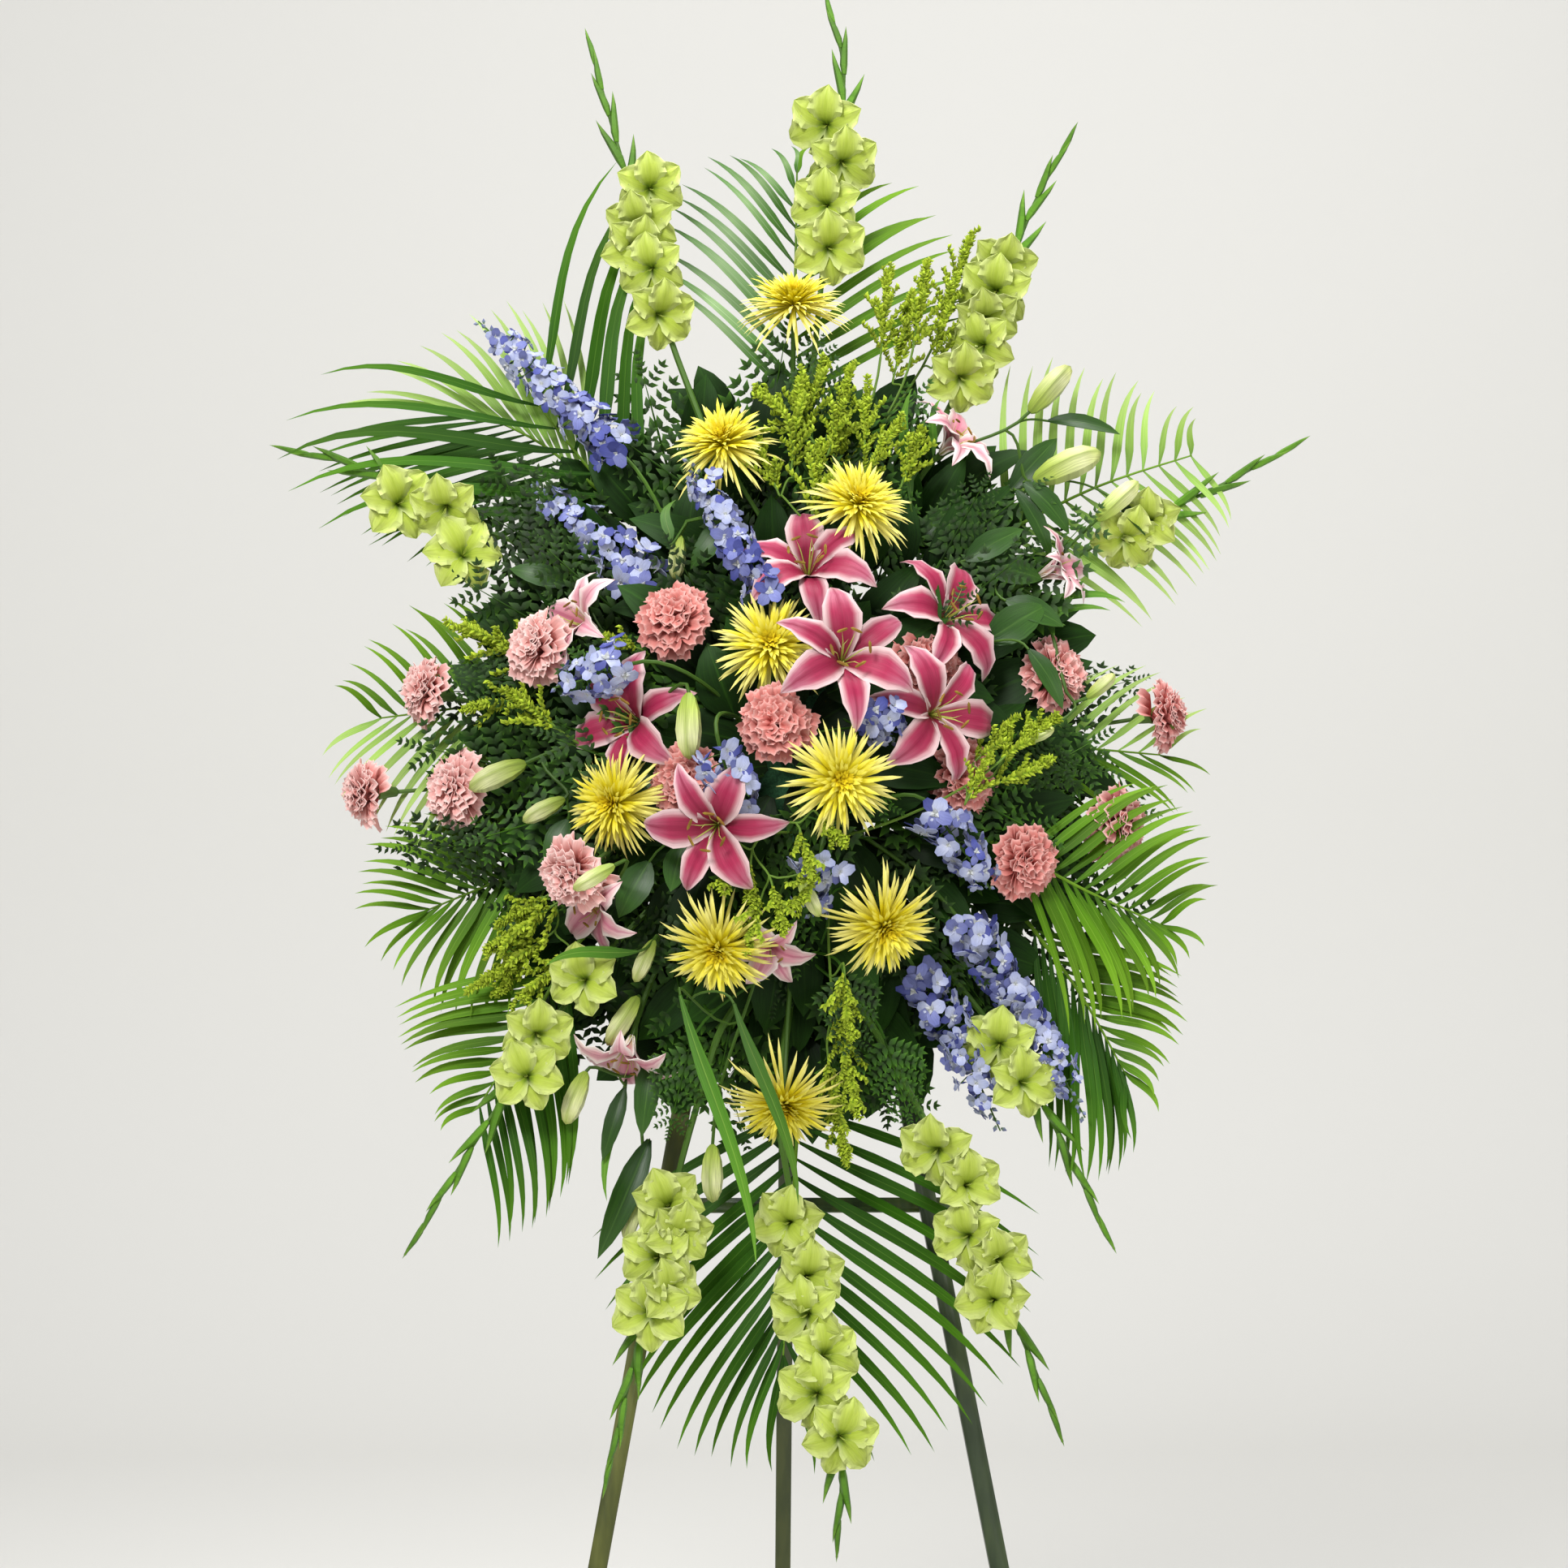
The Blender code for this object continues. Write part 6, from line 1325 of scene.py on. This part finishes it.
# Each fern node: the leaves that its solid has, as base, tip and how far forward
fernGroups = {
    "ferns_left": [((700, 690), (590, 630), 0.09), ((660, 840), (560, 835), 0.10), ((620, 1040), (510, 1045), 0.09)],
    "ferns_right": [((1000, 520), (1012, 430), 0.15), ((1160, 690), (1210, 600), 0.12), ((1230, 930), (1320, 950), 0.13)],
    "ferns_low": [((1040, 1200), (1055, 1290), 0.17), ((850, 1290), (826, 1385), 0.13), ((1090, 1280), (1118, 1370), 0.12)],
}
# What fills the bush behind the flowers, in a spiral over the whole: how many, how far out across and down in the
# picture, how far behind the flowers, and the least and most length
fill = {
    "middle": (962, 925), "least": 0.012,
    "leaves": {"count": 290, "across": 315, "down": 395, "deep": 0.080, "rise": 0.10, "long": (0.080, 0.125)},
    "ferns": {"count": 72, "across": 325, "down": 350, "deep": 0.066, "rise": 0.02, "long": (0.100, 0.150)},
}


def filled(kind, inSector):  # where this plant's sector is filled: each leaf's base and tip, and the way it faces
    own = fill[kind]
    for k in range(own["count"]):
        turn = k * golden
        reach = math.sqrt((k + 0.5) / own["count"])
        across, down = own["across"] * reach * math.cos(turn), own["down"] * reach * math.sin(turn)
        if not inSector(math.degrees(turn) % 360):
            continue
        spot = (fill["middle"][0] + across, fill["middle"][1] + down)
        base = spotAt(spot, max(fill["least"], dome(spot) - own["deep"] - 0.020 * (k % 3)))
        swing = turn + chance.uniform(-0.8, 0.8)
        out = Vector((math.cos(swing), -own["rise"], -math.sin(swing))).normalized()
        facing = (outward(spot, 0.7) + Vector((chance.uniform(-0.4, 0.4), 0, chance.uniform(-0.1, 0.5)))).normalized()
        yield base, base + out * chance.uniform(*own["long"]), facing


sectors = {
    "ferns_left": lambda turn: 120 < turn < 260,
    "ferns_right": lambda turn: turn >= 260 or turn < 30,
    "ferns_low": lambda turn: 30 <= turn <= 120,
}
for node, leaves in fernGroups.items():
    plant = newPlant(node)
    for low, high, forward in leaves:
        base, tip = standing(node, [low, high], [forward, forward], lastOf, aside=False)
        way = (tip - base).normalized()
        addStem(plant, base, way, (0.0018, 0.0016))
        size = (tip - base).length / 0.15 * 1.15
        plant["parts"].append(copyOf(chance.choice(fernLeaves), placed(base, way, outward(low, 0.5), size), chance.random()))
    for base, tip, facing in filled("leaves", sectors[node]):
        plant["parts"].append(leafAt(base, tip, chance.uniform(0.044, 0.060), facing, shadedFillGreen))
    # these filling leaves carry painted shade in their near-black green
    for base, tip, facing in filled("ferns", sectors[node]):
        way = (tip - base).normalized()
        branchTo(plant, base, way, (0.0013, 0.0013))
        size = (tip - base).length / 0.15 * 1.2
        plant["parts"].append(copyOf(chance.choice(fernLeaves), placed(base, way, facing, size), chance.random()))
    gather(plant, "fern", fernPaint)
print("ferns done")

# Solidago: tiny yellow-green flowers along the side branches of a plume
solidagoPaint = plantMaterial("solidagoFlower", [(0, "7a9216"), (1, "b2c43a")], streak=0.1, spread=0.4, rough=0.75)
solidagoStalk = plantMaterial("solidagoStalk", [(0, "5b7d2a"), (1, "6d8c33")], spread=0.1, rough=0.6)
speck = spindleMaster("speck", [(0, 0, 0.0007, 0.0007), (0.0026, 0, 0.0019, 0.0019), (0.0060, 0, 0, 0)], sides=4)


def plumeBranch(name, bend):  # a side branch of a plume, 40 mm long, arched, with flowers along its upper side
    parts = []
    line = [Vector((0, 0.040 * k / 5, bend * math.sin(math.pi * k / 7))) for k in range(6)]
    for a, b in zip(line, line[1:]):
        bit = copyOf(fernRib, placed(a, b - a, forwardAxis, (b - a).length * 1.15, 0.7, 0.7), 0.5)
        bit.data.materials.append(solidagoStalk)
        parts.append(bit)
    for k in range(22):
        point, way = pointAlong(line, 0.15 + 0.85 * k / 21)
        out = Vector((math.sin(k * golden), 0.5, 0.45 + 0.5 * math.cos(k * golden)))
        flower = copyOf(speck, placed(point, out, forwardAxis, chance.uniform(0.9, 1.3)), chance.random())
        flower.data.materials.append(solidagoPaint)
        parts.append(flower)
    return headMaster(name, parts)


plumeBranches = [plumeBranch("plumeLong", 0.007), plumeBranch("plumeBent", 0.012)]
solidagoGroups = {
    "solidago_top": {
        "own": [
            ((1085, 440), (1094, 345), 0.10), ((1125, 430), (1140, 338), 0.09), ((1160, 400), (1192, 303), 0.07),
            ((1030, 590), (1040, 500), 0.17),
        ],
        "more": [
            ((975, 580), (985, 480), 0.17), ((1110, 600), (1130, 540), 0.15), ((1065, 560), (1068, 490), 0.16),
            ((1000, 540), (950, 495), 0.16), ((1020, 560), (1045, 470), 0.16), ((960, 610), (940, 560), 0.17),
            ((1000, 640), (1010, 560), 0.19), ((1060, 590), (1100, 530), 0.16), ((985, 540), (1010, 460), 0.15),
            ((1100, 470), (1120, 380), 0.09), ((1150, 450), (1172, 360), 0.08),
        ],
    },
    "solidago_left": {
        "own": [((670, 830), (605, 790), 0.10), ((690, 900), (640, 860), 0.14), ((655, 1130), (622, 1212), 0.09)],
        "more": [
            ((690, 1110), (610, 1165), 0.11), ((680, 1150), (600, 1205), 0.10), ((700, 1170), (650, 1225), 0.11),
            ((680, 1100), (630, 1130), 0.11), ((640, 800), (575, 775), 0.10), ((650, 860), (590, 870), 0.11),
            ((790, 800), (760, 790), 0.18),
        ],
    },
    "solidago_low": {
        "own": [((1030, 1250), (1052, 1350), 0.17), ((925, 1060), (926, 1100), 0.24), ((1230, 940), (1270, 905), 0.17)],
        "more": [
            ((985, 1020), (997, 1065), 0.255), ((1005, 1000), (1030, 1030), 0.26), ((950, 1085), (962, 1130), 0.235),
            ((905, 1040), (895, 1080), 0.235), ((1200, 940), (1240, 900), 0.18), ((1220, 970), (1275, 945), 0.17),
            ((1190, 990), (1210, 950), 0.19), ((1250, 920), (1290, 890), 0.15), ((940, 1100), (925, 1150), 0.22),
            ((1020, 1300), (1040, 1420), 0.12), ((1040, 1190), (1045, 1260), 0.19), ((1010, 1075), (985, 1110), 0.24),
        ],
    },
}
for node, data in solidagoGroups.items():
    plant = newPlant(node)
    for low, high, forward in data["own"] + data["more"]:
        own = (low, high, forward) in data["own"]
        if own:
            base, tip = standing(node, [low, high], [forward, forward], lastOf, aside=False)
        else:
            base, tip = spotAt(low, forward), spotAt(high, forward)
        way = (tip - base).normalized()
        if own:
            line = addStem(plant, base, way, (0.0018, 0.0014))
        else:
            branchTo(plant, base, way, (0.0012, 0.0012))
        plant["lines"].append([base, base.lerp(tip, 0.5), tip])
        plant["radii"].append((0.0013, 0.0005))
        length = (tip - base).length
        count = max(9, round(length / 0.0050))
        for k in range(count):
            share = k / (count - 1)
            turn = k * golden
            side = way.orthogonal().normalized()
            out = side * math.cos(turn) + way.cross(side) * math.sin(turn)
            size = (1.2 - 0.65 * share) * chance.uniform(0.6, 1.3) * min(1, 0.45 + length / 0.11)
            branch = copyOf(
                chance.choice(plumeBranches), placed(base + (tip - base) * share * 0.96, out + way * (0.9 + share), way, size, 1, 1), None
            )
            plant["parts"].append(branch)
    gather(plant, "solidago", solidagoStalk)
print("solidago done")

# The easel, hinge, bolts, tray, bands and foam: copies of the solids with softened edges
def coated(node, slot, material, soften, body="front", angle=40):  # a copy of a solid with its edges rounded by this much
    clearSelection()
    piece = frame["nodes"][node].copy()
    piece.data = frame["nodes"][node].data.copy()
    piece.name = node + "_detail"
    for key in list(piece.keys()):
        del piece[key]
    piece.parent = None
    bpy.context.scene.collection.objects.link(piece)
    take(piece)
    bpy.ops.object.mode_set(mode="EDIT")
    bpy.ops.mesh.select_all(action="SELECT")
    bpy.ops.mesh.remove_doubles(threshold=0.00002)
    bpy.ops.mesh.dissolve_limited(angle_limit=math.radians(1))
    bpy.ops.object.mode_set(mode="OBJECT")
    if soften:
        edge = piece.modifiers.new("edge", "BEVEL")
        edge.width = soften
        edge.segments = 2
        edge.angle_limit = math.radians(35)
        edge.harden_normals = False
        bpy.ops.object.modifier_apply(modifier=edge.name)
    bpy.ops.object.shade_smooth_by_angle(angle=math.radians(angle))
    piece.data.materials.clear()
    piece.data.materials.append(material)
    return dress(piece, slot, node, body=body)


# One green-stained wood for the whole easel; the right leg's darker tones are painted shade, and the rear leg and
# crossbar also take darker tones than the left leg
woods = {
    "leg_left": (["3c4214", "4d5219", "5e6224"], math.atan(0.19), "front"),
    "leg_right": (["1c2a0e", "28361a", "364420"], -math.atan(0.19), "front"),
    "leg_rear": (["283010", "343e14", "424a1c"], 0.0, "rear_leg"),
    "crossbar": (["1f3309", "2c4410", "43521c"], math.pi / 2, "front"),
}
for node, (codes, turn, body) in woods.items():
    wood = surfaceMaterial(node + "_wood", codes, 38, 0.42, stretch=(1, 1, 0.05), turn=turn, bump=0.25, distance=0.0006, contrast=0.13)
    coated(node, "easel_wood", wood, 0.0012, body)
steel = surfaceMaterial("hingeSteel", ["8e8a80", "b5b2a8"], 220, 0.34, bump=0.1, distance=0.0002, metallic=1.0)
boltSteel = surfaceMaterial("boltSteel", ["6d655a", "a49d90", "bdb8ad"], 260, 0.38, bump=0.25, distance=0.0003, metallic=1.0)
for node, body in (("hinge_leaf_front", "front"), ("hinge_pin", "front"), ("hinge_leaf_rear", "rear_leg")):
    coated(node, "hinge_steel", steel, 0.0002, body, angle=50)
for node in ("bolt_left", "bolt_right"):
    coated(node, "bolt_steel", boltSteel, 0.0003)
trayPlastic = surfaceMaterial("trayPlastic", ["1c3a1e", "244a27"], 60, 0.4, bump=0.08, distance=0.0004)
coated("foam_tray", "tray_plastic", trayPlastic, 0.0008)
foamPaint = surfaceMaterial("foam", ["1f4a2c", "2c5c38", "376a43"], 420, 0.9, bump=0.9, distance=0.0012, contrast=0.16)
coated("foam_block", "foam", foamPaint, 0)
bandPaint = surfaceMaterial("bindingTape", ["2d5a30", "3a6b3b"], 90, 0.3, bump=0.15, distance=0.0003)
for node in ("band_lower", "band_upper"):
    coated(node, "binding_tape", bandPaint, 0.0002)
print("easel and holder done")

# The floor and wall, the light and the camera
studio = {"floor": "e3e2de", "wide": 14.0, "wallAt": 3.2, "bend": 1.2, "high": 7.0}
clearSelection()
bpy.ops.mesh.primitive_plane_add(size=1, location=(0, 0, 0))
sweep = bpy.context.object
sweep.name = "studioSweep"
bpy.ops.object.mode_set(mode="EDIT")
bpy.ops.mesh.select_all(action="SELECT")
bpy.ops.transform.resize(value=(studio["wide"], 9.0, 1), center_override=(0, 0, 0))
bpy.ops.transform.translate(value=(0, studio["wallAt"] - 4.5, 0))
pick(sweep, lambda p: p.y > studio["wallAt"] - 0.01)
for k in range(12):
    turn = math.pi / 2 * (k + 0.5) / 12
    step = studio["bend"] * math.pi / 2 / 12
    bpy.ops.mesh.extrude_region_move(TRANSFORM_OT_translate={"value": (0, step * math.cos(turn), step * math.sin(turn))})
bpy.ops.mesh.extrude_region_move(TRANSFORM_OT_translate={"value": (0, 0, studio["high"])})
bpy.ops.object.mode_set(mode="OBJECT")
bpy.ops.object.shade_smooth()
sweepPaint, nodes, links = newMaterial("studioPaint")
nodes["Principled BSDF"].inputs["Base Color"].default_value = colour(studio["floor"])
nodes["Principled BSDF"].inputs["Roughness"].default_value = 0.85
sweep.data.materials.append(sweepPaint)

world = bpy.data.worlds.new("studioLight")
bpy.context.scene.world = world
world.use_nodes = True
world.node_tree.nodes["Background"].inputs["Color"].default_value = (1, 1, 1, 1)
world.node_tree.nodes["Background"].inputs["Strength"].default_value = 0.42
lamps = {
    "key": ((-1.4, -3.4, 3.8), (0, 0, 1.2), 1.4, 150),
    "fill": ((2.8, -3.6, 2.0), (0, 0, 1.1), 2.4, 40),
    "top": ((0.4, -0.4, 4.2), (0, 0.1, 1.0), 1.6, 60),
    "wall": ((0.9, 0.8, 4.2), (0.5, 3.6, 1.4), 2.8, 50),
}
for name, (place, target, size, power) in lamps.items():
    lamp = bpy.data.lights.new(name, "AREA")
    lamp.shape = "DISK"
    lamp.size = size
    lamp.energy = power
    holder = bpy.data.objects.new(name, lamp)
    holder.location = place
    holder.rotation_euler = (Vector(target) - Vector(place)).to_track_quat("-Z", "Y").to_euler()
    bpy.context.scene.collection.objects.link(holder)

camera = bpy.data.objects.new("camera", bpy.data.cameras.new("camera"))
bpy.context.scene.collection.objects.link(camera)
camera.data.sensor_width = view["sensor"]
aim = home + Vector(((view["picture"] / 2 - view["middle"][0]) * view["pixel"], 0, view["eye"][2]))
camera.location = eye
camera.rotation_euler = (aim - eye).to_track_quat("-Z", "Y").to_euler()
camera.data.lens = view["sensor"] * (aim - eye).length / (view["picture"] * view["pixel"])
bpy.context.scene.camera = camera
bpy.context.scene.view_settings.view_transform = "Standard"
